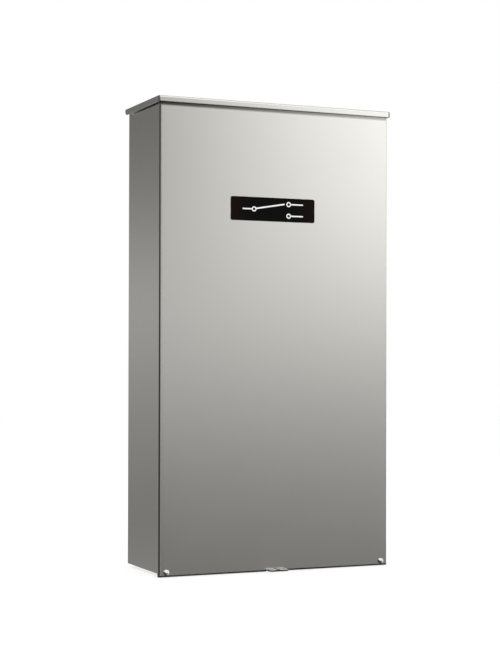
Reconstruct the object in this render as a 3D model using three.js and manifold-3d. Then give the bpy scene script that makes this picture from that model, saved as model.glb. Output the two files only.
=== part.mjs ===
// Outdoor automatic transfer switch: sheet-metal wall enclosure with rain hood and
// hook-on front cover, main breaker, two-pole transfer mechanism and controls inside.
// Units are millimetres. X runs right seen from the front, +Y points into the wall and
// +Z is up. The origin is the centre of the enclosure's back face, on the wall.
// Pieces are drawn with z = 0 at the cover's lower edge, and the wall at y = 0.
import * as THREE from 'three';
import { mergeVertices } from 'three/addons/utils/BufferGeometryUtils.js';
import Module from 'manifold-3d';

const wasm = await Module();
wasm.setup();

// ---- driving dimensions; depths are measured from the wall, towards -Y ----
const height = 764.5; // over the hood
const sheet = 2; // sheet thickness
const bendRadius = 2.6; // outside radius
const bodyHalf = 201.2;
const bodyDepth = 156; // to the front of the return flanges
const bodyBottom = 4.3;
const bodyTop = 762.2;
const coverHalf = 204;
const coverDepth = 160;
const coverTop = 758; // behind the hood's lip
const hoodHalf = 207.7;
const hoodDepth = 163;
const lipBottom = 754.6; // lower edge of the hood's lips
const screwX = 192; // cover screws, either side of the centre
const screwZ = 7.4;
const tabHalf = 16.5; // padlock tab
const tabBottom = 1;
const tabTop = 3.4;
// transfer mechanism
const shaftY = -62;
const shaftZ = 395;
const tilt = 17; // degrees from the middle to either position
const crankRadius = 28;
const poleX = 27; // poles, either side of the centre
const barHalf = 9; // half width of the copper bars
const barThickness = 4;
const baseFront = -14; // front face of the switch base
const caseBottom = 342; // pole cases and side plates
const caseTop = 448;

// ---- outlines: lists of [u, v] points ----
const rad = THREE.MathUtils.degToRad;

// arc between two angles in degrees, both ends included
function arc(centreU, centreV, radius, from, to, steps) {
  return Array.from({ length: steps + 1 }, (_, i) => {
    const angle = rad(from + ((to - from) * i) / steps);
    return [centreU + radius * Math.cos(angle), centreV + radius * Math.sin(angle)];
  });
}
const ring = (u, v, radius, sides) => arc(u, v, radius, 0, 360, sides).slice(0, sides);
// closes a half outline with its mirror image across u = 0
const mirrored = (half) => [...half, ...half.map(([u, v]) => [-u, v]).reverse()];

function roundedRect(u0, u1, v0, v1, radius, steps) {
  return [
    ...arc(u1 - radius, v1 - radius, radius, 0, 90, steps),
    ...arc(u0 + radius, v1 - radius, radius, 90, 180, steps),
    ...arc(u0 + radius, v0 + radius, radius, 180, 270, steps),
    ...arc(u1 - radius, v0 + radius, radius, 270, 360, steps),
  ];
}
// profile of a bent strip around its centre line, with mitred corners
function strip(centreLine, thickness) {
  const normal = (a, b) => new THREE.Vector2(a[1] - b[1], b[0] - a[0]).normalize();
  const oneSide = [];
  const otherSide = [];
  const last = centreLine.length - 1;
  centreLine.forEach((point, i) => {
    const before = i > 0 ? normal(centreLine[i - 1], point) : normal(point, centreLine[1]);
    const after = i < last ? normal(point, centreLine[i + 1]) : before;
    const mitre = before.clone().add(after).normalize();
    mitre.multiplyScalar(thickness / 2 / mitre.dot(before));
    oneSide.push([point[0] + mitre.x, point[1] + mitre.y]);
    otherSide.unshift([point[0] - mitre.x, point[1] - mitre.y]);
  });
  return [...oneSide, ...otherSide];
}
// maps [along, across] of an arm that points forward and up by an angle to [y, z]
function armFrame(y, z, degrees) {
  const cos = Math.cos(rad(degrees));
  const sin = Math.sin(rad(degrees));
  return ([along, across]) => [y - cos * along + sin * across, z + sin * along + cos * across];
}

// ---- solids; cutting shapes usually run about 1 mm past the faces they cut ----
const move = (x, y, z) => new THREE.Matrix4().makeTranslation(x, y, z);

function solidOf(geometry, matrix) {
  geometry.applyMatrix4(matrix);
  geometry.deleteAttribute('normal');
  geometry.deleteAttribute('uv');
  const merged = mergeVertices(geometry, 1e-4);
  return new wasm.Manifold(new wasm.Mesh({
    numProp: 3,
    vertProperties: new Float32Array(merged.attributes.position.array),
    triVerts: new Uint32Array(merged.index.array),
  }));
}
function box(x0, x1, y0, y1, z0, z1) {
  const middle = move((x0 + x1) / 2, (y0 + y1) / 2, (z0 + z1) / 2);
  return solidOf(new THREE.BoxGeometry(x1 - x0, y1 - y0, z1 - z0), middle);
}
// turns +Y onto an axis, at two cross coordinates and a distance along that axis
function onAxis(axis, [u, v], along) {
  const turn = new THREE.Matrix4();
  if (axis === 'x') turn.makeRotationZ(-Math.PI / 2);
  if (axis === 'z') turn.makeRotationX(Math.PI / 2);
  const place = { x: [along, u, v], y: [u, along, v], z: [u, v, along] }[axis];
  return move(...place).multiply(turn);
}
function cylinder(axis, centre, radius, from, to, segments) {
  const geometry = new THREE.CylinderGeometry(radius, radius, to - from, segments);
  return solidOf(geometry, onAxis(axis, centre, (from + to) / 2));
}
// profile holds [radius, distance along the axis] pairs, from axis to axis
function turned(axis, profile, centre, segments) {
  const points = profile.map(([radius, along]) => new THREE.Vector2(radius, along));
  return solidOf(new THREE.LatheGeometry(points, segments), onAxis(axis, centre, 0));
}
function prism(outline, depth, matrix, hole) {
  const vectors = (points) => points.map(([u, v]) => new THREE.Vector2(u, v));
  const shape = new THREE.Shape(vectors(outline));
  if (hole) shape.holes.push(new THREE.Path(vectors(hole)));
  const options = { depth, bevelEnabled: false, steps: 1 };
  return solidOf(new THREE.ExtrudeGeometry(shape, options), matrix);
}
// outlines in YZ, XZ and XY, pushed along the third axis
function prismX(outline, x0, x1) {
  const matrix = new THREE.Matrix4().set(0, 0, 1, x0, 1, 0, 0, 0, 0, 1, 0, 0, 0, 0, 0, 1);
  return prism(outline, x1 - x0, matrix);
}
function prismY(outline, y0, y1) {
  const matrix = new THREE.Matrix4().set(1, 0, 0, 0, 0, 0, -1, y1, 0, 1, 0, 0, 0, 0, 0, 1);
  return prism(outline, y1 - y0, matrix);
}
const prismZ = (outline, z0, z1, hole) => prism(outline, z1 - z0, move(0, 0, z0), hole);

const join = (first, ...rest) => rest.reduce((solid, other) => solid.add(other), first);
const cut = (first, ...rest) => rest.reduce((solid, other) => solid.subtract(other), first);
// each row is x0, x1, y0, y1, z0, z1
const boxes = (...rows) => join(...rows.map((row) => box(...row)));
const bothSides = (solid) => solid.add(solid.mirror([1, 0, 0]));
// the same solid reflected from above the shaft to below it
const belowShaft = (solid) => solid.mirror([0, 0, 1]).translate([0, 0, 2 * shaftZ]);

// ---- finishes and pieces ----
const finishes = {
  sheet: { color: 0xb4b4b0, roughness: 0.42, metalness: 0.85 },
  screw: { color: 0xd0d0cc, roughness: 0.2, metalness: 1 },
  zinc: { color: 0xa8aaa8, roughness: 0.35, metalness: 0.9 },
  badge: { color: 0x14110f, roughness: 0.35, metalness: 0 },
  foam: { color: 0x2a2a2a, roughness: 0.95, metalness: 0 },
  black: { color: 0x1c1c1e, roughness: 0.5, metalness: 0 },
  lever: { color: 0x101012, roughness: 0.4, metalness: 0 },
  copper: { color: 0xb5714a, roughness: 0.3, metalness: 1 },
  silver: { color: 0xc9c9c6, roughness: 0.25, metalness: 1 },
  alloy: { color: 0xb9bbbd, roughness: 0.35, metalness: 0.9 },
  steel: { color: 0x8f9294, roughness: 0.4, metalness: 0.9 },
  phenolic: { color: 0x5a2a20, roughness: 0.6, metalness: 0 },
  housing: { color: 0xd8d4c6, roughness: 0.55, metalness: 0 },
  tape: { color: 0xc9a53a, roughness: 0.6, metalness: 0 },
  red: { color: 0xb02418, roughness: 0.45, metalness: 0 },
  ceramic: { color: 0xe9e4d6, roughness: 0.4, metalness: 0 },
  grip: { color: 0xa01c18, roughness: 0.6, metalness: 0 },
};

const root = new THREE.Group();
const inner = new THREE.Group();
inner.position.set(0, 0, -height / 2);
root.add(inner);

function piece(name, solid, finish) {
  const { vertProperties, triVerts } = solid.getMesh();
  const geometry = new THREE.BufferGeometry();
  const positions = new THREE.BufferAttribute(new Float32Array(vertProperties), 3);
  geometry.setAttribute('position', positions);
  geometry.setIndex(new THREE.BufferAttribute(new Uint32Array(triVerts), 1));
  geometry.computeVertexNormals();
  const mesh = new THREE.Mesh(geometry, new THREE.MeshStandardMaterial(finishes[finish]));
  mesh.name = name;
  inner.add(mesh);
}
// the same piece left and right of the centre
function pair(name, distance, solidAt, finish) {
  piece(`${name}_left`, solidAt(-distance), finish);
  piece(`${name}_right`, solidAt(distance), finish);
}

// ================= enclosure =================
// back, sides and front return flanges bent from one sheet
function enclosureBody() {
  const flangeWidth = 14;
  const recessBottom = 744;
  const recessBack = -150;
  const mountX = 150;
  const keyhole = { z: 690, radius: 7.5, slotTop: 702, slotHalf: 3.8 };
  const lowerHole = { z: 44, radius: 4.2 };
  const screwHole = 2.7; // radius

  const innerRadius = bendRadius - sheet;
  const outerX = bodyHalf - bendRadius;
  const innerX = bodyHalf - sheet - innerRadius;
  const front = -bodyDepth;
  const section = mirrored([
    ...arc(outerX, -bendRadius, bendRadius, 90, 0, 4),
    ...arc(outerX, front + bendRadius, bendRadius, 0, -90, 4),
    [bodyHalf - flangeWidth, front],
    [bodyHalf - flangeWidth, front + sheet],
    ...arc(innerX, front + sheet + innerRadius, innerRadius, -90, 0, 2),
    ...arc(innerX, -sheet - innerRadius, innerRadius, 0, 90, 2),
  ]);
  const throughBack = (z, radius, segments) =>
    cylinder('y', [mountX, z], radius, -sheet - 1, 1, segments);
  const { slotHalf, slotTop } = keyhole;
  const mounting = join(
    throughBack(keyhole.z, keyhole.radius, 16),
    throughBack(slotTop, slotHalf, 12),
    box(mountX - slotHalf, mountX + slotHalf, -sheet - 1, 1, keyhole.z, slotTop),
    throughBack(lowerHole.z, lowerHole.radius, 12));
  // screw hole open to the flange's lower end
  const x0 = screwX - screwHole;
  const x1 = screwX + screwHole;
  const screwSlot = join(
    cylinder('y', [screwX, screwZ], screwHole, front - 1, front + sheet + 1, 16),
    box(x0, x1, front - 1, front + sheet + 1, bodyBottom - 1, screwZ));
  return cut(
    prismZ(section, bodyBottom, bodyTop),
    // room for the cover's upper edge to swing back
    box(-bodyHalf - 1, bodyHalf + 1, front - 1, recessBack, recessBottom, 763),
    bothSides(mounting),
    bothSides(screwSlot));
}
piece('enclosure_body', enclosureBody(), 'sheet');

// top plate with lips turned down at the front and sides
function hood() {
  const sideBend = 1.2; // tighter than the front bend
  const chamfer = 0.35; // share of the bend at the middle point of its facets
  const back = -0.5;
  const front = -hoodDepth;
  const section = mirrored([
    [hoodHalf, lipBottom],
    [hoodHalf, height - sideBend],
    [hoodHalf - chamfer * sideBend, height - chamfer * sideBend],
    [hoodHalf - sideBend, height],
  ]);
  const sideView = [
    [back, height],
    [front + bendRadius, height],
    [front + chamfer * bendRadius, height - chamfer * bendRadius],
    [front, height - bendRadius],
    [front, lipBottom],
    [-6, lipBottom], [-2.2, lipBottom + 1.6], [back, lipBottom + 6],
  ];
  const hollowX = hoodHalf - sheet;
  // slit where the lips meet at the corner
  const slit = box(hollowX - 0.3, hollowX + 0.1,
    front - 1, front + sheet + 0.4, lipBottom - 1, height - sheet - 1);
  return cut(
    prismY(section, front, back).intersect(prismX(sideView, -hoodHalf - 1, hoodHalf + 1)),
    box(-hollowX, hollowX, front + sheet, 1, lipBottom - 1, height - sheet),
    bothSides(slit));
}
piece('hood', hood(), 'sheet');

// set-up floor with a lip turned down at the front and flanges up the sides
function bottomPanel() {
  const half = 198.9;
  const lipHalf = 185.4;
  const floorBottom = 12;
  const floorTop = floorBottom + sheet;
  const flangeTop = 26;
  const back = -2.3;
  const grooveWidth = 1.1;
  // x, y, scale
  const knockouts = [[-110, -78, 1], [0, -78, 1.25], [110, -78, 1]];

  let solid = boxes(
    [-half, half, -153.7, back, floorBottom, floorTop],
    [-half, -half + sheet, -150, back, floorTop, flangeTop],
    [half - sheet, half, -150, back, floorTop, flangeTop],
    [-lipHalf, lipHalf, -bodyDepth, -153.6, bodyBottom, floorTop]);
  // notch above the padlock tab
  const notchHalf = tabHalf + 0.6;
  solid = cut(solid, box(-notchHalf, notchHalf, -157, -153, bodyBottom - 1, tabTop + 0.4));
  // knockouts: two concentric grooves in the underside
  for (const [x, y, scale] of knockouts) {
    for (const radius of [17 * scale, 25 * scale]) {
      const hole = ring(x, y, radius - grooveWidth, 24);
      solid = cut(solid, prismZ(ring(x, y, radius, 24), 11, 12.5, hole));
    }
  }
  return solid;
}
piece('bottom_panel', bottomPanel(), 'sheet');

// rail across the top of the opening
piece('header_rail', boxes(
  [-187, 187, -156, -154, 712, 738],
  [-187, 187, -154.2, -140, 712, 714],
  [-199, 199, -142, -140, 712, 724]), 'sheet');

// tab welded behind the bottom lip and standing out through the cover
function padlockTab() {
  const front = -172.2;
  const back = -151.4;
  const corner = 3.5;
  const hole = { y: -166.2, radius: 3.6 };
  const plan = mirrored([
    [tabHalf, back],
    ...arc(tabHalf - corner, front + corner, corner, 0, -90, 5),
  ]);
  return join(
    prismZ(plan, tabBottom, tabTop, ring(0, hole.y, hole.radius, 20)),
    box(-tabHalf, tabHalf, back - sheet, back, tabBottom, 11.8));
}
piece('padlock_tab', padlockTab(), 'sheet');

// nut on the body flange, behind a cover screw
function clipNut(x) {
  const half = 6;
  const nut = join(
    box(x - half, x + half, -153.8, -152.8, bodyBottom, 11.6),
    cylinder('y', [x, screwZ], 4.2, -152.9, -148.6, 14));
  return nut
    .intersect(box(x - half, x + half, -154, -148, bodyBottom, 11.7))
    .subtract(cylinder('y', [x, screwZ], 2.5, -155, -148, 14));
}
pair('clip_nut', screwX, clipNut, 'zinc');

// ================= front cover =================
const flangeDepth = 151.4; // rear edge of the cover's flanges
const flangeTop = 755.5;
const splay = 0.2; // how far the side flanges spread towards the wall

// the cover as a full block, or the smaller block that hollows it out
function coverBlock({ inset, bend, back, top }) {
  const half = coverHalf - inset;
  const front = inset - coverDepth;
  const splayLength = coverDepth - flangeDepth - bendRadius;
  const backHalf = half + (splay * (back - front - bend)) / splayLength;
  const plan = mirrored([
    [backHalf, back],
    ...arc(half - bend, front + bend, bend, 0, -90, 5),
  ]);
  const rear = 6 - flangeDepth;
  const sideView = [
    [rear, top],
    [front, top],
    ...arc(front + bend, inset + bend, bend, 180, 270, 5),
    [rear, inset],
  ];
  return prismZ(plan, -1, top).intersect(prismX(sideView, -coverHalf - 3, coverHalf + 3));
}
function frontCover() {
  const front = -coverDepth;
  const outer = coverBlock({ inset: 0, bend: bendRadius, back: -flangeDepth, top: coverTop });
  const hollow = coverBlock({ inset: sheet, bend: 0.7, back: 5 - flangeDepth, top: coverTop + 1 });
  const past = coverHalf + 3;
  const behindFace = front + sheet + 0.6;
  const flangeInside = coverHalf - sheet - 0.2;
  const notchHalf = tabHalf + 1.5;
  return cut(
    outer,
    hollow,
    // side flanges stop short of the top
    box(-past, past, behindFace, 0, flangeTop, coverTop + 1),
    bothSides(box(flangeInside, past, behindFace, 0, flangeTop - 3, coverTop + 1)),
    // notch for the padlock tab, through the bend and the bottom flange
    box(-notchHalf, notchHalf, front - 1, -140, -1, tabTop + 0.6),
    bothSides(cylinder('y', [screwX, screwZ], 2.9, front - 1, front + sheet + 1, 16)));
}
piece('front_cover', frontCover(), 'sheet');

// foam gasket behind the cover's face
piece('cover_gasket', cut(
  prismY(roundedRect(-200.5, 200.5, 13.5, 742, 2, 2), -157.9, -156.3),
  prismY(roundedRect(-190, 190, 24, 732, 2, 2), -159, -155)), 'foam');

const badgeOutline = roundedRect(-82.5, 67.5, 570.8, 609.6, 3, 5);
piece('badge_plate', prismY(badgeOutline, -coverDepth - 1.1, -coverDepth), 'badge');

// domed, slotted screw
function coverScrew(x) {
  // radius, y
  const profile = [
    [0, -164.8], [1.5, -164.6], [2.8, -164.05], [3.8, -163.15], [4.5, -161.9],
    [4.75, -160.9], [4.75, -160.15], [2.2, -160.15], [2.2, -148.9], [1.4, -147.8], [0, -147.8],
  ];
  return cut(
    turned('y', profile, [x, screwZ], 24),
    box(x - 0.55, x + 0.55, -165.5, -163.5, screwZ - 5, screwZ + 5));
}
pair('cover_screw', screwX, coverScrew, 'screw');

// ================= main breaker =================
piece('breaker_bracket', bothSides(boxes(
  [-70, 70, -28, -26, 556, 704],
  [68, 70, -26, -2, 556, 704],
  [68, 86, -4, -2, 556, 704])), 'zinc');

function breakerCase() {
  const half = 53;
  // y, z
  const sideView = [
    [-28, 548], [-28, 712], [-84, 712], [-84, 690], [-92, 684], [-92, 668], [-102, 664],
    [-102, 596], [-92, 592], [-92, 576], [-84, 570], [-84, 548],
  ];
  const pocketX0 = poleX - 15;
  const pocketX1 = poleX + 15;
  return cut(
    prismX(sideView, -half, half),
    box(-0.8, 0.8, -103, -82, 540, 720), // parting groove between the poles
    box(-14, 14, -104, -70, 604, 656), // handle window
    // shallow terminal pockets at both ends
    bothSides(box(pocketX0, pocketX1, -86, -46, 702, 713)),
    bothSides(box(pocketX0, pocketX1, -86, -54, 547, 558)));
}
piece('breaker_case', breakerCase(), 'black');

// curved shield with a toggle
function breakerHandle() {
  const y = -84;
  const z = 630;
  const shield = [...arc(y, z, 16.5, 144, 216, 10), ...arc(y, z, 11.5, 216, 144, 10)];
  // along, across
  const toggle = [
    [14, -4.5], [14, 4.5], [36, 3.6], [38, 2], [38, -2], [36, -3.6],
  ].map(armFrame(y, z, 20));
  return prismX(shield, -12.5, 12.5).add(prismX(toggle, -10, 10));
}
piece('breaker_handle', breakerHandle(), 'lever');

// lug with a vertical wire bore and a hex-socket screw from the front
function lug(x, { y, z0, z1, depth, bore }) {
  const half = 13;
  const chamfer = 2;
  const screwRadius = 5.6;
  const socketRadius = 3.2;
  const front = y - depth / 2;
  const back = y + depth / 2;
  const middle = [x, (z0 + z1) / 2];
  const sideView = [
    [front, z0], [front, z1 - chamfer], [front + chamfer, z1], [back, z1], [back, z0],
  ];
  return cut(
    prismX(sideView, x - half, x + half),
    cylinder('z', [x, y + 1], bore, z0 - 1, z1 + 1, 18),
    cylinder('y', middle, screwRadius, front - 1, y, 16))
    .add(cylinder('y', middle, screwRadius, front + 1.2, y + 2 - bore, 16))
    .subtract(cylinder('y', middle, socketRadius, front - 1, front + 5, 6));
}
const lineLug = { y: -66, z0: 702.2, z1: 738, depth: 30, bore: 8.5 };
pair('line_lug', poleX, (x) => lug(x, lineLug), 'alloy');

// copper bar bent along a [y, z] centre line
const bar = (x, line) => prismX(strip(line, barThickness), x - barHalf, x + barHalf);
// joint hole shared by the bus bars and the utility contacts
const jointHole = (x) => cylinder('y', [x, 484], 3.3, -80, -60, 12);

// bus bars from the breaker down to the transfer mechanism
const busbarLine = [[-62, 557.5], [-62, 520], [-72, 508], [-72, 474]];
pair('busbar_utility', poleX, (x) => bar(x, busbarLine).subtract(jointHole(x)), 'copper');

// ================= transfer mechanism =================
// base board on four feet
piece('switch_base', boxes(
  [-128, 88, -14, -8, 318, 472],
  [-120, -100, -8.2, -2, 324, 340], [60, 80, -8.2, -2, 324, 340],
  [-120, -100, -8.2, -2, 450, 466], [60, 80, -8.2, -2, 450, 466]), 'phenolic');

// plate that carries the shaft, with a foot flange turned outwards
function sidePlate(x0, footX0) {
  const back = baseFront - 0.1;
  // y, z
  const sideView = [
    [back, caseBottom], [back, caseTop], [-84, caseTop], [-100, 432], [-100, 358],
    [-84, caseBottom],
  ];
  return join(
    prismX(sideView, x0, x0 + 3),
    box(footX0, footX0 + 12, -17, back, caseBottom, caseTop))
    .subtract(cylinder('x', [shaftY, shaftZ], 6.8, x0 - 1, x0 + 4, 20));
}
// the left foot has a notch at shaft height, ending just clear of the plate
const footNotch = box(-71, -58.01, -30, -10, 380, 410);
piece('side_plate_left', sidePlate(-58, -70).subtract(footNotch), 'steel');
piece('side_plate_right', sidePlate(55, 58), 'steel');

// frame of the arms on the shaft, turned to the utility side
const onArm = armFrame(shaftY, shaftZ, tilt);
const crankPin = onArm([crankRadius, 0]);
// block in the arm's frame
function armBlock(x0, x1, along0, along1, across0, across1) {
  const outline = [[along0, across0], [along0, across1], [along1, across1], [along1, across0]];
  return prismX(outline.map(onArm), x0, x1);
}

// shaft with crank, crank pin, handle socket and switch cam
function transferShaft() {
  // along, across
  const crank = [
    [-9, -7], [-9, 7], [crankRadius - 2, 6], [crankRadius + 5, 4], [crankRadius + 7, 0],
    [crankRadius + 5, -4], [crankRadius - 2, -6],
  ];
  const cam = [[-8, -6], [-8, 6], [22, 3.2], [25, 1.5], [25, -1.5], [22, -3.2]];
  const alongArm = new THREE.Matrix4().makeRotationX(Math.PI / 2 - rad(tilt));
  const socketHole = solidOf(
    new THREE.CylinderGeometry(6.4, 6.4, 30, 16),
    move(-73, ...onArm([24, 0])).multiply(alongArm));
  return join(
    cylinder('x', [shaftY, shaftZ], 6, -97, 70, 20),
    prismX(crank.map(onArm), -97, -93),
    cylinder('x', crankPin, 2.5, -105, -85, 14),
    armBlock(-82, -64, -8, 26, -9, 9))
    .subtract(socketHole)
    .add(prismX(cam.map(onArm), 61, 69));
}
piece('transfer_shaft', transferShaft(), 'steel');

// contact arm with its pad, on a hub around the shaft
function movingContact(x) {
  const arm = [[6, -3.5], [6, 3.5], [35, 3.5], [36, 2.5], [36, -2.5], [35, -3.5]];
  return join(
    cylinder('x', [shaftY, shaftZ], 11, x - 15, x + 15, 20),
    prismX(arm.map(onArm), x - 7, x + 7),
    armBlock(x - 6, x + 6, 26, 34, -5.4, 5.4))
    .subtract(cylinder('x', [shaftY, shaftZ], 6.3, x - 16, x + 16, 20));
}
// case open at the front, with slots at top and bottom for the conductors
function poleCase(x) {
  const half = 22;
  const wall = 4;
  const endWall = 5;
  const slotHalf = barHalf + 0.6;
  const inside = half - wall;
  return cut(
    box(x - half, x + half, -104, baseFront - 0.2, caseBottom, caseTop),
    box(x - inside, x + inside, -106, -20, caseBottom + endWall, caseTop - endWall),
    cylinder('x', [shaftY, shaftZ], 11.8, x - half - 1, x + half + 1, 20),
    box(x - slotHalf, x + slotHalf, -98, -78, caseBottom - 2, caseTop + 2),
    box(x - slotHalf, x + slotHalf, -34, -24, caseBottom - 2, 350));
}
// pad and finger above the shaft, with a tail along the given [y, z] points
function fixedContact(x, tail) {
  const finger = [[21, 11.9], [31, 11.9]].map(onArm);
  return bar(x, [...finger, ...tail]).add(armBlock(x - 6, x + 6, 26.5, 33.5, 5.75, 10));
}
const utilityTail = [[-91, 424], [-91, 456], [-76, 466], [-76, 494]];
const standbyTail = [[-91, 424], [-91, 454], [-80, 464], [-80, 490]]; // before reflection
const standbyLug = { y: -64, z0: 290, z1: 322, depth: 28, bore: 8 };
const loadLug = { y: -45, z0: 254, z1: 286, depth: 28, bore: 8 };
for (const [side, x] of [['left', -poleX], ['right', poleX]]) {
  piece(`moving_contact_${side}`, movingContact(x), 'copper');
  piece(`pole_case_${side}`, poleCase(x), 'housing');
  const utilityContact = fixedContact(x, utilityTail).subtract(jointHole(x));
  piece(`utility_contact_${side}`, utilityContact, 'copper');
  piece(`standby_contact_${side}`, belowShaft(fixedContact(x, standbyTail)), 'copper');
  // straight bar from behind the hub down to its lug
  piece(`load_bar_${side}`, box(x - barHalf, x + barHalf, -31, -27, 268, 418), 'copper');
  piece(`standby_lug_${side}`, lug(x, standbyLug), 'alloy');
  piece(`load_lug_${side}`, lug(x, loadLug), 'alloy');
}

// solenoids, one above the shaft and one reflected below it
const plungerX = -95;
const plungerY = -89.4;
const plungerCylinder = (radius, z0, z1) =>
  cylinder('z', [plungerX, plungerY], radius, z0, z1, 20);

function solenoidFrame() {
  const x0 = plungerX - 18;
  const x1 = plungerX + 18;
  const wall = 3;
  return boxes(
    [x0, x1, -107.4, -68, 425, 425 + wall],
    [x0, x1, -107.4, -68, 487 - wall, 487],
    [x0, x1, -68 - wall, -68, 425, 487],
    [x0, x0 + wall, -70, baseFront - 0.1, 438, 474],
    [x1 - wall, x1, -70, baseFront - 0.1, 438, 474])
    .subtract(plungerCylinder(9.8, 420, 430));
}
// winding between two end flanges
function solenoidCoil() {
  return join(
    plungerCylinder(16, 431, 481),
    plungerCylinder(17.5, 428.2, 431.2),
    plungerCylinder(17.5, 480.8, 483.8))
    .subtract(plungerCylinder(9.7, 420, 490));
}
piece('solenoid_frame_utility', solenoidFrame(), 'steel');
piece('solenoid_coil_utility', solenoidCoil(), 'tape');
piece('solenoid_frame_standby', belowShaft(solenoidFrame()), 'steel');
piece('solenoid_coil_standby', belowShaft(solenoidCoil()), 'tape');

// round core and a slotted blade on the crank pin; z ranges are from the pin
function plunger({ core, blade, bladeX }) {
  const pinZ = crankPin[1];
  const y = plungerY;
  return join(
    plungerCylinder(9, pinZ + core[0], pinZ + core[1]),
    box(bladeX, bladeX + 3, y - 6, y + 6, pinZ + blade[0], pinZ + blade[1]))
    .subtract(box(bladeX - 1, bladeX + 4, y - 4, y + 4, pinZ - 2.9, pinZ + 2.9));
}
piece('plunger_utility', plunger({ core: [12, 74], blade: [-6, 14], bladeX: -103 }), 'steel');
piece('plunger_standby', plunger({ core: [-77, -12], blade: [-14, 6], bladeX: -90 }), 'steel');

// limit switches at the shaft's right end, worked by the cam
const limitSwitch = boxes(
  [58.1, 72, -70, -42, 419, 435],
  [59.4, 61.2, -53, -45, 411.8, 419.2],
  [68.8, 70.6, -53, -45, 411.8, 419.2]);
piece('limit_switch_utility', limitSwitch, 'black');
piece('limit_switch_standby', belowShaft(limitSwitch), 'black');

// bent lever, swung about its pivot by an angle in degrees
function limitLever(swing) {
  const pivot = new THREE.Vector2(-49, 414.6);
  const line = [[-46.4, 415], [-49, 414.6], [-84, 409.6]].map(([y, z]) =>
    new THREE.Vector2(y, z).rotateAround(pivot, rad(swing)).toArray());
  return prismX(strip(line, 1.2), 61.5, 68.5);
}
// the cam holds the utility lever up; the other hangs free, 8 degrees further in
piece('limit_lever_utility', limitLever(0), 'silver');
piece('limit_lever_standby', belowShaft(limitLever(8)), 'silver');

// ================= neutral and ground =================
piece('neutral_insulator', boxes(
  [112, 176, -30, -2, 303, 424],
  [104, 184, -8, -2, 301, 430]), 'black');

function neutralBar() {
  let solid = box(124, 164, -52, -30, 300, 420);
  for (const z of [324, 360, 396]) {
    solid = cut(solid,
      cylinder('x', [-42.5, z], 7.5, 120, 170, 16),
      cylinder('y', [144, z], 5, -53, -48, 14));
  }
  return solid;
}
piece('neutral_bar', neutralBar(), 'alloy');

// bar on two feet, with a row of wire holes and screw recesses
function groundBar() {
  const firstX = 72;
  const pitch = 12.5;
  let solid = boxes(
    [60, 184, -18, -8, 56, 68],
    [64, 74, -8.2, -2, 58, 66],
    [168, 178, -8.2, -2, 58, 66]);
  for (let i = 0; i < 9; i++) {
    const x = firstX + i * pitch;
    solid = cut(solid,
      cylinder('z', [x, -14.2], 2.4, 50, 74, 10),
      cylinder('y', [x, 62], 2.8, -19, -17.2, 10));
  }
  return solid;
}
piece('ground_bar', groundBar(), 'alloy');

// strap from under the neutral bar down to the ground bar: y, z
const strapLine = [
  [-40, 298.9], [-20.2, 298.9], [-12, 290], [-12, 240], [-12, 78], [-20, 70], [-20, 56],
];
piece('bonding_strap', prismX(strip(strapLine, 1.6), 156, 166), 'copper');

// ================= controls =================
// base and block with seven dividers
function terminalStrip() {
  const firstX = -86;
  const pitch = 17;
  let solid = boxes([-90, 20, -8, -2, 214, 246], [-86, 16, -20, -8, 222, 238]);
  for (let i = 0; i < 7; i++) {
    const x = firstX + i * pitch;
    solid = solid.add(box(x - 1.2, x + 1.2, -27, -7, 218, 242));
  }
  return solid;
}
piece('control_terminal_strip', terminalStrip(), 'black');

const fuseXs = [-47, -20, 7];
// base with a two-leaf clip at each end of every fuse
function fuseBlock() {
  const half = 7;
  const gap = 5.3; // half the space between the leaves
  let solid = box(-60, 20, -10, -2, 130, 196);
  for (const x of fuseXs) {
    for (const z of [134, 184]) {
      solid = solid.add(boxes(
        [x - half, x + half, -20, -9, z, z + 8],
        [x - half, x - gap, -30, -19, z, z + 8],
        [x + gap, x + half, -30, -19, z, z + 8]));
    }
  }
  return solid;
}
piece('fuse_block', fuseBlock(), 'black');

// radius, z
const fuseProfile = [
  [0, 132.6], [4.6, 132.6], [5.1, 133.2], [5.1, 143.4], [4.5, 143.6],
  [4.5, 182.4], [5.1, 182.6], [5.1, 192.8], [4.6, 193.4], [0, 193.4],
];
fuseXs.forEach((x, i) => {
  piece(`fuse_${i + 1}`, turned('z', fuseProfile, [x, -25.2], 16), 'ceramic');
});

const button = [-108, 150]; // x, z
// case on a flange, with a ribbed recess and a button hole
function loadShedController() {
  const recess = { x0: -168, x1: -88, z0: 76, z1: 100 };
  const ribPitch = 11.43;
  let solid = cut(
    join(
      prismY(roundedRect(-178, -78, 64, 176, 3, 2), -44, -6),
      prismY(roundedRect(-186, -70, 56, 184, 3, 2), -6, -2)),
    box(recess.x0, recess.x1, -45, -41, recess.z0, recess.z1),
    cylinder('y', button, 4.6, -46, -38, 18));
  for (let i = 0; i < 8; i++) {
    const x = recess.x0 + i * ribPitch;
    solid = solid.add(box(x - 0.8, x + 0.8, -43.5, -40.8, recess.z0, recess.z1));
  }
  return solid;
}
piece('load_shed_controller', loadShedController(), 'black');

// radius, y
const buttonProfile = [[0, -46.6], [3.4, -46.6], [3.9, -46.2], [3.9, -39.4], [0, -39.4]];
piece('test_button', turned('y', buttonProfile, button, 20), 'red');

// manual transfer handle in its two clips
const handleX = -172;
// radius, z
const handleProfile = [
  [0, 300], [5.2, 300], [6, 301], [6, 455], [10.5, 457], [11, 460], [11, 536], [9, 541], [0, 542],
];
piece('manual_handle', turned('z', handleProfile, [handleX, -20], 20), 'grip');

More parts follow.
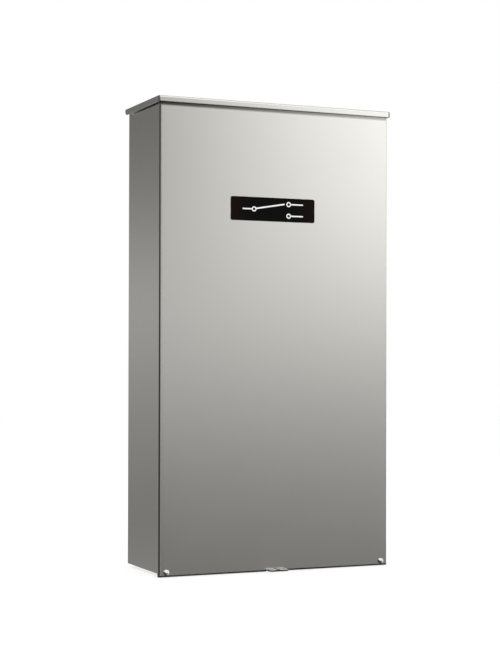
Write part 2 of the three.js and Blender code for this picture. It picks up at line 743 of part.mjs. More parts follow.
// two U-shaped clips joined by a backing strip
function handleClips() {
  const x = handleX;
  const half = 9.5;
  const gap = 7; // half the space between the leaves
  let solid = box(x - 6, x + 6, -3.6, -2, 322, 438);
  for (const z of [330, 430]) {
    solid = solid.add(boxes(
      [x - half, x + half, -6, -2, z - 7, z + 7],
      [x - half, x - gap, -25, -5.9, z - 7, z + 7],
      [x + gap, x + half, -25, -5.9, z - 7, z + 7]));
  }
  return solid;
}
piece('handle_clips', handleClips(), 'zinc');

export default root;
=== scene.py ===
# An automatic transfer switch in a sheet aluminium enclosure, with a hood, a front cover, a
# breaker, two solenoids with a contact shaft, fuses, a controller, terminals and wiring.
# +X is to the right seen from the front, -Y is the front and +Z is up. The back wall is near
# y = 0. Lengths are drawing millimetres, whose z = 0 is the cover's bottom edge, unless a
# comment says metres. Shader coordinates and the stage are in metres.
import math
from functools import reduce

import bmesh
import bpy
from mathutils import Matrix, Vector


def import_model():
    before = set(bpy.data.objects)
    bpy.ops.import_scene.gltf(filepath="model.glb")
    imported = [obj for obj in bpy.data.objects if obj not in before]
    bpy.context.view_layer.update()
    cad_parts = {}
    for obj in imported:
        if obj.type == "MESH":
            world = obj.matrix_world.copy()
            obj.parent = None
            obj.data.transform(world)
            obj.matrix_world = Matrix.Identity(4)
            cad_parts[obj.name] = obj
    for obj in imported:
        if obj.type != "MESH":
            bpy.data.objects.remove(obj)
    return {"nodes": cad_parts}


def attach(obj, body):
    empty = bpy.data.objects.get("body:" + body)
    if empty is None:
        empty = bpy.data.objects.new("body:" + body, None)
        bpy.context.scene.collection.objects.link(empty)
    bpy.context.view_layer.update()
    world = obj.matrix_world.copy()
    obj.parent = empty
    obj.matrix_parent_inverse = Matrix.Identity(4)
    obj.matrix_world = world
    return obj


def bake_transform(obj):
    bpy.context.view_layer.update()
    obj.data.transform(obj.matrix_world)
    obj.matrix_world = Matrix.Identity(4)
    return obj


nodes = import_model()["nodes"]
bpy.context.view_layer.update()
scene = bpy.context.scene
scene.view_settings.view_transform = "Standard"
scene.view_settings.look = "None"
scene.view_settings.exposure = 0.0
scene.view_settings.gamma = 1.0

# ------------------------------------------------------------------ shared dimensions
DRAWING_DROP = -382.25                     # from drawing heights to heights in the frame
POLE_X = (-27, 27)                         # the two current paths
SHAFT_Y, SHAFT_Z = -62, 395                # axis of the transfer shaft
SWITCH_X = 65                              # limit switches, above and below the shaft
SWITCH_Z = (SHAFT_Z + 32, SHAFT_Z - 32)
STRIP_X = [-77.5 + 17 * i for i in range(6)]                  # control terminal strip
CONTROLLER_X = [-168 + 11.43 * (i + 0.5) for i in range(7)]   # controller terminals
FUSE_X = (-47, -20, 7)
LENS_X = (-160, -148, -136)
LENS_Z = 150
TRUNK_X = (-143.5, -140.8)                 # the four coil wires run down in a 2 by 2 bundle
TRUNK_Y = (-9.5, -12.2)
FRONT, BACK = Vector((0, -1, 0)), Vector((0, 1, 0))
RIGHT, UP = Vector((1, 0, 0)), Vector((0, 0, 1))


def level(z):
    """Drawing height to frame metres."""
    return (z + DRAWING_DROP) / 1000.0


def at(x, y, z):
    """Drawing point to frame metres."""
    return Vector((x / 1000.0, y / 1000.0, level(z)))


# ------------------------------------------------------------------ shader helpers
def shade(color, factor, lift=0.0):
    return tuple(min(1.0, c * factor + lift) for c in color)


class Shader:
    """Short calls that add and link nodes in one node tree."""

    def __init__(self, tree):
        tree.nodes.clear()
        self.tree = tree

    def put(self, socket, value):
        if isinstance(value, bpy.types.NodeSocket):
            self.tree.links.new(value, socket)
        else:
            socket.default_value = value

    def node(self, kind, inputs=None, **settings):
        node = self.tree.nodes.new(kind)
        for key, value in settings.items():
            setattr(node, key, value)
        for key, value in (inputs or {}).items():
            self.put(node.inputs[key], value)
        return node

    def coordinates(self, kind):
        return self.node("ShaderNodeTexCoord").outputs[kind]

    def split(self, vector):
        return self.node("ShaderNodeSeparateXYZ", {0: vector}).outputs

    def math(self, operation, *values, clamp=False):
        inputs = dict(enumerate(values))
        node = self.node("ShaderNodeMath", inputs, operation=operation, use_clamp=clamp)
        return node.outputs[0]

    def add(self, *values):
        return reduce(lambda a, b: self.math("ADD", a, b), values)

    def multiply(self, *values, by=None):
        factors = values if by is None else values + (by,)
        return reduce(lambda a, b: self.math("MULTIPLY", a, b), factors)

    def maximum(self, *values):
        return reduce(lambda a, b: self.math("MAXIMUM", a, b), values)

    def subtract(self, value, amount):
        return self.math("SUBTRACT", value, amount)

    def swing(self, value, amount, middle=0.5):
        """A value measured from its middle, times an amount."""
        return self.multiply(self.subtract(value, middle), by=amount)

    def ramp(self, value, start, end, low=0.0, high=1.0, smooth=True):
        """Goes from low at start to high at end."""
        node = self.node("ShaderNodeMapRange", {0: value, 1: start, 2: end, 3: low, 4: high},
                         interpolation_type="SMOOTHSTEP" if smooth else "LINEAR", clamp=True)
        return node.outputs[0]

    def mix(self, factor, first, second):
        first, second = [(*c[:3], 1.0) if isinstance(c, tuple) else c for c in (first, second)]
        node = self.node("ShaderNodeMix", {0: factor, 6: first, 7: second}, data_type="RGBA")
        return node.outputs[2]


class Surface(Shader):
    """A principled material with textures in object coordinates (metres)."""

    def __init__(self, name):
        self.material = bpy.data.materials.new(name)
        self.material.use_nodes = True
        super().__init__(self.material.node_tree)
        self.bsdf = self.node("ShaderNodeBsdfPrincipled")
        self.node("ShaderNodeOutputMaterial", {0: self.bsdf.outputs[0]})
        self.place = self.coordinates("Object")

    def noise(self, scale, detail=3.0, rough=0.55, vector=None):
        inputs = {"Vector": self.place if vector is None else vector,
                  "Scale": scale, "Detail": detail, "Roughness": rough}
        return self.node("ShaderNodeTexNoise", inputs).outputs["Fac"]

    def wave(self, profile, **inputs):
        """Bands stacked along Z."""
        inputs = {key.replace("_", " "): value for key, value in inputs.items()}
        return self.node("ShaderNodeTexWave", {"Vector": self.place, **inputs},
                         wave_type="BANDS", bands_direction="Z",
                         wave_profile=profile).outputs["Fac"]

    def edges(self, radius):
        """1 near a sharp edge, 0 on a flat face."""
        rounded_normal = self.node("ShaderNodeBevel", {"Radius": radius}, samples=4).outputs[0]
        normal = self.node("ShaderNodeNewGeometry").outputs["Normal"]
        dot = self.node("ShaderNodeVectorMath", {0: rounded_normal, 1: normal},
                        operation="DOT_PRODUCT").outputs["Value"]
        return self.ramp(self.subtract(1.0, dot), start=0.02, end=0.35)

    def finish(self, inputs, height, strength, distance):
        """Sets the surface inputs, bumps the surface and returns the material."""
        for key, value in inputs.items():
            self.put(self.bsdf.inputs[key], value)
        bump = self.node("ShaderNodeBump",
                         {"Strength": strength, "Distance": distance, "Height": height})
        self.put(self.bsdf.inputs["Normal"], bump.outputs[0])
        return self.material


# ------------------------------------------------------------------ painted shade and darkening masks
def cover_painted_shade(mat):
    """Painted shade on the bends at the left and bottom edges, and under the hood's lip."""
    normal = mat.split(mat.coordinates("Normal"))
    x, y, z = mat.split(mat.place)
    leftward = mat.multiply(normal[0], by=-1.0)
    downward = mat.multiply(normal[2], by=-1.0)
    left = mat.multiply(mat.ramp(leftward, start=0.36, end=0.68),
                        mat.ramp(y, start=-0.1548, end=-0.1560), by=0.96)
    bottom = mat.multiply(mat.ramp(downward, start=0.02, end=0.26),
                          mat.ramp(z, start=level(5), end=level(3)),
                          mat.ramp(y, start=-0.1565, end=-0.1575), by=0.93)
    # painted shade in the middle of the bottom edge, on faces turned away from the front
    slot = mat.multiply(mat.ramp(mat.math("ABSOLUTE", x), start=0.0188, end=0.0184),
                        mat.ramp(z, start=level(4.7), end=level(4.3)),
                        mat.ramp(normal[1], start=-0.95, end=-0.7), by=0.9)
    strip = mat.multiply(mat.ramp(z, start=level(3.3), end=level(2.1)),
                         mat.ramp(y, start=-0.1565, end=-0.1575), by=0.90)
    bottom = mat.maximum(bottom, strip, slot)
    # painted shade under the hood's lip, darker at the left
    top = mat.multiply(mat.ramp(z, start=level(747.4), end=level(751.9)),
                       mat.ramp(x, start=-0.204, end=0.204, low=0.93, high=0.52, smooth=False),
                       mat.ramp(y, start=-0.157, end=-0.158))
    return mat.maximum(left, bottom, top)


def hood_painted_shade(mat):
    """Painted shade inside the hood, on its lower edge, corner seams and side rims."""
    normal = mat.split(mat.coordinates("Normal"))
    x, y, z = mat.split(mat.place)
    side = mat.math("ABSOLUTE", x)
    inside = mat.multiply(mat.ramp(side, start=0.2070, end=0.2062),
                          mat.ramp(y, start=-0.1624, end=-0.1618),
                          mat.ramp(z, start=level(763.4), end=level(762.8)),
                          mat.ramp(y, start=-0.150, end=-0.158, low=0.10, high=0.55))
    lower = mat.multiply(mat.ramp(z, start=level(755.9), end=level(755.2)),
                         mat.ramp(y, start=-0.1612, end=-0.1618),
                         mat.ramp(x, start=-0.204, end=0.204, low=0.85, high=0.30,
                                  smooth=False))
    corner = mat.multiply(mat.ramp(side, start=0.2053, end=0.2064),
                          mat.ramp(y, start=-0.1600, end=-0.1613), by=0.85)
    rim = mat.multiply(mat.ramp(normal[2], start=0.12, end=0.4),
                       mat.ramp(normal[2], start=0.97, end=0.85),
                       mat.ramp(side, start=0.2060, end=0.2066), by=0.62)
    return mat.maximum(mat.maximum(inside, lower), mat.maximum(corner, rim))


def screw_painted_shade(mat):
    """Painted shade on the lower left of the domed heads."""
    normal = mat.split(mat.coordinates("Normal"))
    lower_left = mat.add(mat.multiply(normal[0], by=-0.62), mat.multiply(normal[2], by=-0.72))
    return mat.multiply(mat.ramp(lower_left, start=0.08, end=0.34), by=0.97)


def tab_painted_shade(mat):
    """Painted shade on faces turned to the front or the left, and on the foremost edge."""
    normal = mat.split(mat.coordinates("Normal"))
    y = mat.split(mat.place)[1]
    edge = mat.maximum(mat.ramp(mat.multiply(normal[1], by=-1.0), start=0.2, end=0.6),
                       mat.ramp(mat.multiply(normal[0], by=-1.0), start=0.2, end=0.6),
                       mat.ramp(y, start=-0.1704, end=-0.1713))
    return mat.multiply(edge, mat.ramp(y, start=-0.1595, end=-0.1602), by=0.96)


def body_painted_shade(mat):
    """A faint shade at the top of the body's sides."""
    x, _, z = mat.split(mat.place)
    return mat.multiply(mat.ramp(z, start=level(752.8), end=level(754.2)),
                        mat.ramp(mat.math("ABSOLUTE", x), start=0.1990, end=0.2005), by=0.10)


def floor_dark_band(mat):
    """Darker in the rings around the knockouts and along the bottom panel's folds."""
    z = mat.split(mat.place)[2]
    return mat.multiply(mat.ramp(z, start=level(12.08), end=level(12.32)),
                        mat.ramp(z, start=level(13.2), end=level(12.9)), by=0.60)


# ------------------------------------------------------------------ materials
# colour of the masks above: painted shade on most parts, and a darker band on the bottom panel
DARKENING_COLOR = (0.022, 0.022, 0.020)


def metal(name, color, roughness, wear, stretch=(1.0, 1.0, 0.03), grain=2600.0, vary=0.035,
          rough_vary=0.06, depth=0.00002, spots=0.0, darkening=None, metallic=1.0):
    """Metal with grain stretched along an axis, dark spots, bright edges and a darkening mask,
    mostly painted shade.
    """
    mat = Surface(name)
    stretched = mat.node("ShaderNodeVectorMath", {0: mat.place, 1: stretch},
                         operation="MULTIPLY").outputs[0]
    fine = mat.noise(scale=grain, detail=2.0, vector=stretched)
    broad = mat.noise(scale=7.0)
    medium = mat.noise(scale=90.0, detail=4.0)
    tone = mat.add(mat.swing(fine, amount=vary * 1.4), mat.swing(broad, amount=vary),
                   mat.swing(medium, amount=vary * 0.5))
    contrast = mat.multiply(tone, by=6.0)
    base = mat.mix(mat.math("ADD", 0.5, contrast, clamp=True),
                   shade(color, 1 - vary), shade(color, 1 + vary))
    rough = mat.add(roughness, mat.swing(fine, amount=rough_vary),
                    mat.swing(broad, amount=rough_vary))
    if spots:
        spot = mat.ramp(mat.noise(scale=420.0, detail=4.0, rough=0.7), start=0.60, end=0.72)
        base = mat.mix(mat.multiply(spot, by=spots), base, shade(color, factor=0.45))
    worn = mat.multiply(mat.edges(radius=0.0005),
                        mat.ramp(mat.noise(scale=260.0), start=0.3, end=0.62))
    base = mat.mix(mat.multiply(worn, by=wear), base, shade(color, factor=1.35, lift=0.05))
    rough = mat.subtract(rough, mat.multiply(worn, by=0.12 * wear))
    # mixes in the mask's colour: painted shade, or on the bottom panel a darker band
    if darkening:
        base = mat.mix(darkening(mat), base, DARKENING_COLOR)
    return mat.finish({"Base Color": base, "Roughness": rough, "Metallic": metallic},
                      fine, strength=0.35, distance=depth)


def sheet(name, darkening=None):
    """The bare aluminium sheet."""
    return metal(name, (0.80, 0.790, 0.745), roughness=0.24, vary=0.010, depth=0.000003,
                 rough_vary=0.03, wear=0.4, darkening=darkening)


def plastic(name, color, roughness, grain=1500.0, depth=0.00004, vary=0.10, wear=0.25,
            dust=0.05, coat=0.0):
    """Moulded plastic with pale edges and a little dust."""
    mat = Surface(name)
    fine = mat.noise(scale=grain, detail=2.0)
    broad = mat.noise(scale=22.0)
    base = mat.mix(mat.ramp(broad, start=0.3, end=0.7),
                   shade(color, 1 - vary), shade(color, 1 + vary))
    worn = mat.multiply(mat.edges(radius=0.0006),
                        mat.ramp(mat.noise(scale=300.0), start=0.35, end=0.65))
    base = mat.mix(mat.multiply(worn, by=wear), base, shade(color, factor=1.5, lift=0.10))
    speckle = mat.ramp(mat.noise(scale=60.0, detail=5.0, rough=0.7), start=0.52, end=0.8)
    dust_color = (0.5, 0.48, 0.44)
    base = mat.mix(mat.multiply(speckle, by=dust), base, dust_color)
    rough = mat.add(roughness, mat.swing(mat.add(fine, broad), amount=0.12, middle=1.0))
    inputs = {"Base Color": base, "Roughness": rough}
    if coat:
        inputs.update({"Coat Weight": coat, "Coat Roughness": 0.15})
    return mat.finish(inputs, fine, strength=0.5, distance=depth)


def foam():
    mat = Surface("foam")
    cells = mat.noise(scale=900.0, detail=4.0, rough=0.7)
    dark, light = (0.012, 0.012, 0.012), (0.05, 0.05, 0.05)
    base = mat.mix(mat.ramp(cells, start=0.35, end=0.65), dark, light)
    return mat.finish({"Base Color": base, "Roughness": 0.95},
                      cells, strength=0.8, distance=0.0003)


def badge_black():
    """Black, turning faintly red towards the badge's ends."""
    mat = Surface("badge_black")
    middle, ends, speck = (0.0010, 0.0010, 0.0011), (0.0050, 0.0016, 0.0010), (0.01, 0.01, 0.01)
    edge_highlight_color = (0.35, 0.34, 0.33)
    badge_middle = 0.0075            # how far the badge's middle lies to the left, metres
    x = mat.split(mat.place)[0]
    distance = mat.math("ABSOLUTE", mat.add(x, badge_middle))
    toward_ends = mat.multiply(mat.ramp(distance, start=0.030, end=0.074), by=1.0)
    grain = mat.noise(scale=1200.0, detail=2.0)
    base = mat.mix(toward_ends, middle, ends)
    base = mat.mix(mat.multiply(grain, by=0.08), base, speck)
    # painted highlight: the badge's edges are painted paler
    base = mat.mix(mat.multiply(mat.edges(radius=0.0005), by=0.35), base, edge_highlight_color)
    rough = mat.add(0.34, mat.multiply(grain, by=0.1))
    return mat.finish({"Base Color": base, "Roughness": rough, "Specular IOR Level": 0.07},
                      grain, strength=0.25, distance=0.00001)


def paint(name, color):
    mat = Surface(name)
    grain = mat.noise(scale=1500.0, detail=2.0)
    base = mat.mix(grain, shade(color, factor=0.94), color)
    rough = mat.add(0.4, mat.multiply(grain, by=0.15))
    return mat.finish({"Base Color": base, "Roughness": rough},
                      grain, strength=0.3, distance=0.00001)


def coil_tape():
    """Wrapped insulating tape: bands along the coil's axis, with slightly lifted seams."""
    mat = Surface("coil_tape")
    dark, light, stain = (0.46, 0.30, 0.05), (0.66, 0.47, 0.11), (0.36, 0.22, 0.05)
    bands = mat.wave("SAW", Scale=30.0, Distortion=0.6, Detail_Scale=6.0)
    grain = mat.noise(scale=1400.0)
    base = mat.mix(mat.multiply(grain, by=0.4), mat.mix(bands, dark, light), stain)
    return mat.finish({"Base Color": base, "Roughness": 0.36},
                      mat.add(bands, mat.multiply(grain, by=0.2)),
                      strength=0.6, distance=0.0002)


def fuse_tube():
    """A pale tube with a metal cap at each end."""
    mat = Surface("fuse_tube")
    pale, paler, cap_color = (0.62, 0.60, 0.53), (0.78, 0.76, 0.69), (0.74, 0.60, 0.34)
    z = mat.split(mat.place)[2]
    from_middle = mat.math("ABSOLUTE", mat.subtract(z, level(163.0)))
    cap = mat.ramp(from_middle, start=0.0194, end=0.0197, smooth=False)
    grain = mat.noise(scale=900.0)
    base = mat.mix(cap, mat.mix(grain, pale, paler), cap_color)
    rough = mat.subtract(0.42, mat.multiply(cap, by=0.18))
    return mat.finish({"Base Color": base, "Metallic": cap, "Roughness": rough},
                      grain, strength=0.3, distance=0.00002)


def handle_grip():
    """A ribbed red grip above a bare metal rod."""
    mat = Surface("handle_grip")
    dark, light, rod_color = (0.30, 0.016, 0.012), (0.42, 0.028, 0.02), (0.52, 0.53, 0.54)
    z = mat.split(mat.place)[2]
    grip = mat.ramp(z, start=level(455.6), end=level(456.2), smooth=False)
    ribs = mat.wave("SIN", Scale=55.0)
    grain = mat.noise(scale=1500.0)
    base = mat.mix(grip, rod_color, mat.mix(grain, dark, light))
    height = mat.add(mat.multiply(ribs, grip, by=1.0), mat.multiply(grain, by=0.12))
    return mat.finish({"Base Color": base, "Metallic": mat.subtract(1.0, grip),
                       "Roughness": mat.add(0.28, mat.multiply(grip, by=0.27))},
                      height, strength=0.7, distance=0.0005)


EVEN = (1, 1, 1)                     # grain that isn't stretched
MATERIALS = {
    "sheet": sheet("sheet_aluminium"),
    "sheet_cover": sheet("sheet_aluminium_cover", cover_painted_shade),
    "sheet_hood": sheet("sheet_aluminium_hood", hood_painted_shade),
    "sheet_body": sheet("sheet_aluminium_body", body_painted_shade),
    "sheet_floor": sheet("sheet_aluminium_floor", floor_dark_band),
    "zinc": metal("zinc_plate", (0.62, 0.63, 0.60), roughness=0.34, stretch=EVEN,
                  grain=500.0, vary=0.06, wear=0.4),
    # the cover screws carry painted shade on the lower left of their heads
    "cover_screw": metal("bright_plate_worn_painted_shade", (0.96, 0.955, 0.94), roughness=0.14,
                         stretch=EVEN, grain=900.0, vary=0.02, wear=0.2, darkening=screw_painted_shade,
                         metallic=0.55),
    "tab": metal("sheet_aluminium_tab", (0.90, 0.89, 0.86), roughness=0.24, vary=0.01,
                 depth=0.000003, wear=0.4, darkening=tab_painted_shade, metallic=0.7),
    "screw": metal("bright_plate", (0.86, 0.85, 0.82), roughness=0.16, stretch=EVEN,
                   grain=900.0, vary=0.03, wear=0.3),
    "alloy": metal("tinned_alloy", (0.66, 0.67, 0.68), roughness=0.32, stretch=(0.05, 1, 1),
                   grain=1500.0, vary=0.05, wear=0.6),
    "steel": metal("plated_steel", (0.50, 0.51, 0.52), roughness=0.30, stretch=(1, 1, 0.08),
                   grain=1300.0, vary=0.07, wear=0.7, spots=0.15),
    "copper": metal("copper", (0.72, 0.37, 0.22), roughness=0.26, stretch=(0.06, 1, 1),
                    grain=1600.0, vary=0.10, wear=0.7, spots=0.35),
    "spring": metal("spring_steel", (0.68, 0.68, 0.67), roughness=0.22, stretch=(1, 0.05, 1),
                    grain=1600.0, vary=0.04, wear=0.4),
    "brass": metal("brass", (0.76, 0.58, 0.28), roughness=0.25, stretch=EVEN, grain=1200.0,
                   vary=0.06, wear=0.5),
    "black": plastic("black_moulding", (0.020, 0.020, 0.022), roughness=0.42),
    "lever": plastic("handle_moulding", (0.012, 0.012, 0.014), roughness=0.30, grain=900.0,
                     depth=0.00002, coat=0.3),
    "board": plastic("laminated_board", (0.17, 0.048, 0.030), roughness=0.48, grain=420.0,
                     depth=0.00008, vary=0.25, wear=0.5),
    "housing": plastic("pale_moulding", (0.60, 0.57, 0.48), roughness=0.50, vary=0.06,
                       dust=0.10),
    "red": plastic("red_moulding", (0.45, 0.025, 0.015), roughness=0.30, coat=0.3),
    "white": plastic("white_moulding", (0.74, 0.73, 0.70), roughness=0.42, vary=0.04),
    "grey": plastic("grey_moulding", (0.18, 0.19, 0.20), roughness=0.45),
    "blue": plastic("blue_moulding", (0.03, 0.09, 0.32), roughness=0.38),
    "yellow": plastic("yellow_moulding", (0.62, 0.42, 0.03), roughness=0.38),
    "green": plastic("green_moulding", (0.03, 0.26, 0.07), roughness=0.38),
    "foam": foam(),
    "badge": badge_black(),
    "mark": paint("badge_mark", (0.80, 0.80, 0.79)),
    "label": paint("label_white", (0.78, 0.78, 0.75)),
    "ink": paint("label_ink", (0.10, 0.10, 0.11)),
    "tape": coil_tape(),
    "fuse": fuse_tube(),
    "grip": handle_grip(),
}

# ------------------------------------------------------------------ finish of the CAD nodes
# material, edge bevel, node names
NODE_FINISH = [
    ("sheet", 0.28, ["header_rail"]),
    ("sheet_floor", 0.2, ["bottom_panel"]),
    ("tab", 0.25, ["padlock_tab"]),
    ("sheet_cover", 0.28, ["front_cover"]),
    ("sheet_hood", 0.28, ["hood"]),
    ("sheet_body", 0.28, ["enclosure_body"]),
    ("zinc", 0.25, ["clip_nut_left", "clip_nut_right", "breaker_bracket", "handle_clips"]),
    ("cover_screw", 0.15, ["cover_screw_left", "cover_screw_right"]),
    ("foam", 0.3, ["cover_gasket"]),
    ("badge", 0.25, ["badge_plate"]),
    ("black", 0.6, ["breaker_case", "limit_switch_utility", "limit_switch_standby",
                    "neutral_insulator", "control_terminal_strip", "fuse_block",
                    "load_shed_controller"]),
    ("lever", 0.7, ["breaker_handle"]),
    ("alloy", 0.5, ["line_lug_left", "line_lug_right", "standby_lug_left",
                    "standby_lug_right", "load_lug_left", "load_lug_right", "neutral_bar",
                    "ground_bar"]),
    ("copper", 0.3, ["busbar_utility_left", "busbar_utility_right", "moving_contact_left",
                     "moving_contact_right", "utility_contact_left", "utility_contact_right",
                     "standby_contact_left", "standby_contact_right", "load_bar_left",
                     "load_bar_right", "bonding_strap"]),
    ("board", 0.4, ["switch_base"]),
    ("steel", 0.4, ["side_plate_left", "side_plate_right", "transfer_shaft",
                    "solenoid_frame_utility", "solenoid_frame_standby", "plunger_utility",
                    "plunger_standby"]),
    ("housing", 0.8, ["pole_case_left", "pole_case_right"]),
    ("tape", 0.5, ["solenoid_coil_utility", "solenoid_coil_standby"]),
    ("spring", 0.15, ["limit_lever_utility", "limit_lever_standby"]),
    ("fuse", 0.15, ["fuse_1", "fuse_2", "fuse_3"]),
    ("red", 0.2, ["test_button"]),
    ("grip", 0.3, ["manual_handle"]),
]


def finish_node(node, material, bevel_width):
    """Gives a CAD node its material, smooth shading and small rounded edges."""
    data = node.data
    for attribute in ("custom_normal", "sharp_edge", "sharp_face"):
        if attribute in data.attributes:
            data.attributes.remove(data.attributes[attribute])
    for polygon in data.polygons:
        polygon.use_smooth = True
    data.materials.clear()
    data.materials.append(MATERIALS[material])
    weld = node.modifiers.new("weld", "WELD")
    weld.merge_threshold = 0.000002
    bevel = node.modifiers.new("edge", "BEVEL")
    bevel.width = bevel_width / 1000.0
    bevel.segments = 2
    bevel.limit_method = "ANGLE"
    bevel.angle_limit = math.radians(35)
    bevel.harden_normals = False
    bevel.use_clamp_overlap = True
    normals = node.modifiers.new("shade", "WEIGHTED_NORMAL")
    normals.mode = "FACE_AREA"
    normals.weight = 100
    normals.keep_sharp = False


for material, bevel_width, names in NODE_FINISH:
    for name in names:
        finish_node(nodes[name], material, bevel_width)


# ------------------------------------------------------------------ shape builder
def perpendicular(direction):
    return direction.cross(UP if abs(direction.z) < 0.9 else RIGHT).normalized()


def rounded(points, steps):
    """Catmull-Rom curve through numbers or vectors."""
    curve = []
    last = len(points) - 1
    for i in range(last):
        before, start = points[max(i - 1, 0)], points[i]
        end, after = points[i + 1], points[min(i + 2, last)]
        for k in range(steps):
            s = k / steps
            curve.append(0.5 * ((2 * start) + (end - before) * s
                                + (2 * before - 5 * start + 4 * end - after) * s * s
                                + (3 * start - before - 3 * end + after) * s * s * s))
    return curve + [points[-1]]


class Shape:
    """Parts gathered in one mesh, given in drawing millimetres."""

    def __init__(self):
        self.mesh = bmesh.new()

    def ring(self, points):
        return [self.mesh.verts.new(point) for point in points]

    def round_ring(self, centre, axis, height, radii):
        """One vertex per radius, evenly spaced around the axis."""
        side = perpendicular(axis)
        across = side.cross(axis)
        angles = [2 * math.pi * i / len(radii) for i in range(len(radii))]
        return self.ring(centre + axis * (height / 1000.0)
                         + (side * math.cos(a) + across * math.sin(a)) * (radius / 1000.0)
                         for a, radius in zip(angles, radii))

    def loft(self, rings, flip=False):
        for first, second in zip(rings, rings[1:]):
            for i in range(len(first)):
                j = (i + 1) % len(first)
                if flip:
                    corners = (first[j], first[i], second[i], second[j])
                else:
                    corners = (first[i], first[j], second[j], second[i])
                self.mesh.faces.new(corners)

    def cap(self, rings, flip=False):
        first, last = rings[0], rings[-1]
        self.mesh.faces.new(first if flip else first[::-1])
        self.mesh.faces.new(last[::-1] if flip else last)

    def box(self, x0, x1, y0, y1, z0, z1, radius, segments=2):
        low, high = at(x0, y0, z0), at(x1, y1, z1)
        corners = self.ring((x, y, z) for x in (low.x, high.x) for y in (low.y, high.y)
                            for z in (low.z, high.z))
        sides = [(0, 1, 3, 2), (4, 6, 7, 5), (0, 4, 5, 1), (2, 3, 7, 6), (0, 2, 6, 4),
                 (1, 5, 7, 3)]
        faces = [self.mesh.faces.new([corners[i] for i in side]) for side in sides]
        edges = {edge for face in faces for edge in face.edges}
        bmesh.ops.bevel(self.mesh, geom=list(edges), offset=radius / 1000.0,
                        segments=segments, affect="EDGES", profile=0.5)

    def turned(self, profile, origin, axis, sides):
        """Turns (radius, height) points around an axis; radius 0 closes the shape."""
        centre = at(*origin)
        rings = []
        for radius, height in profile:
            if radius <= 0:
                rings.append(self.ring([centre + axis * (height / 1000.0)]))
            else:
                rings.append(self.round_ring(centre, axis, height, [radius] * sides))
        for first, second in zip(rings, rings[1:]):
            for i in range(sides):
                j = (i + 1) % sides
                if len(first) == 1:
                    corners = (first[0], second[j], second[i])
                elif len(second) == 1:
                    corners = (first[i], first[j], second[0])
                else:
                    corners = (first[i], first[j], second[j], second[i])
                self.mesh.faces.new(corners)

    def tube(self, points, radius, sides=10, steps=6):
        """A closed round tube along a curve through the points."""
        path = rounded([at(*point) for point in points], steps)
        normal = perpendicular((path[1] - path[0]).normalized())
        angles = [2 * math.pi * k / sides for k in range(sides)]
        rings = []
        for i, centre in enumerate(path):
            ahead, behind = path[min(i + 1, len(path) - 1)], path[max(i - 1, 0)]
            tangent = (ahead - behind).normalized()
            normal = (normal - tangent * normal.dot(tangent)).normalized()
            across = tangent.cross(normal)
            rings.append(self.ring(
                centre + (normal * math.cos(a) + across * math.sin(a)) * (radius / 1000.0)
                for a in angles))
        self.loft(rings)
        self.cap(rings)

    def bar(self, x0, z0, x1, z1, width, depths):
        """A flat bar from (x0, z0) to (x1, z1), between two y depths."""
        length = math.hypot(x1 - x0, z1 - z0)
        along_x, along_z = (x1 - x0) / length, (z1 - z0) / length
        dx, dz = -along_z * width / 2, along_x * width / 2
        outline = [(x0 - dx, z0 - dz), (x1 - dx, z1 - dz), (x1 + dx, z1 + dz),
                   (x0 + dx, z0 + dz)]
        rings = [self.ring(at(x, y, z) for x, z in outline) for y in depths]
        self.cap(rings, flip=True)
        self.loft(rings, flip=True)

    def annulus(self, x, z, outer, inner, depths, sides=32):
        """A flat ring around Y, between two y depths."""
        first, second = depths
        angles = [2 * math.pi * i / sides for i in range(sides)]
        rings = [self.ring(at(x + r * math.cos(a), y, z + r * math.sin(a)) for a in angles)
                 for r, y in ((outer, second), (outer, first), (inner, first),
                              (inner, second))]
        self.loft(rings + rings[:1])

    def socket_screw(self, x, y, z, radius, height):
        """A domed head with a hexagonal socket, standing forward of y."""
        sides = 24
        circle = [1.0] * sides
        hexagon = [math.cos(math.pi / 6)
                   / math.cos((2 * math.pi * i / sides) % (math.pi / 3) - math.pi / 6)
                   for i in range(sides)]
        # radius as a share of the head's, height, outline
        stations = [(0.97, -0.25, circle), (1, 0.0, circle), (1, height * 0.45, circle),
                    (0.88, height * 0.82, circle), (0.62, height, circle),
                    (0.52, height, hexagon), (0.48, height * 0.35, hexagon),
                    (0.10, height * 0.30, circle)]
        rings = [self.round_ring(at(x, y, z), FRONT, h, [radius * share * k for k in outline])
                 for share, h, outline in stations]
        self.loft(rings)
        self.cap(rings)

    def hex_bolt(self, x, y, z, across_flats, height, washer_radius, washer_height):
        """A chamfered hexagon head on a round washer, standing forward of y."""
        self.turned([(0, -0.2), (washer_radius, -0.2), (washer_radius, washer_height * 0.8),
                     (washer_radius * 0.97, washer_height), (0, washer_height)],
                    (x, y, z), FRONT, sides=28)
        corner = across_flats / 2 / math.cos(math.pi / 6)
        top = washer_height + height
        turn = 0.3
        angles = [math.pi * i / 3 + turn for i in range(6)]
        rings = [self.ring(at(x + r * math.cos(a), y - h, z + r * math.sin(a)) for a in angles)
                 for r, h in ((corner, washer_height - 0.05),
                              (corner, washer_height + height * 0.82),
                              (corner * 0.86, top), (corner * 0.30, top))]
        self.loft(rings, flip=True)
        self.cap(rings, flip=True)

    def to_object(self, name, material, sharp_angle=None):
        bmesh.ops.recalc_face_normals(self.mesh, faces=self.mesh.faces)
        data = bpy.data.meshes.new(name)
        self.mesh.to_mesh(data)
        self.mesh.free()
        for polygon in data.polygons:
            polygon.use_smooth = True
        if sharp_angle is not None:
            data.set_sharp_from_angle(angle=math.radians(sharp_angle))
        data.materials.append(MATERIALS[material])
        built = bpy.data.objects.new(name, data)
        scene.collection.objects.link(built)
        return built

    def ride(self, name, material, body, sharp_angle=35.0):
        """Makes the object and fixes it to a moving body."""
        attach(self.to_object(name, material, sharp_angle), body)


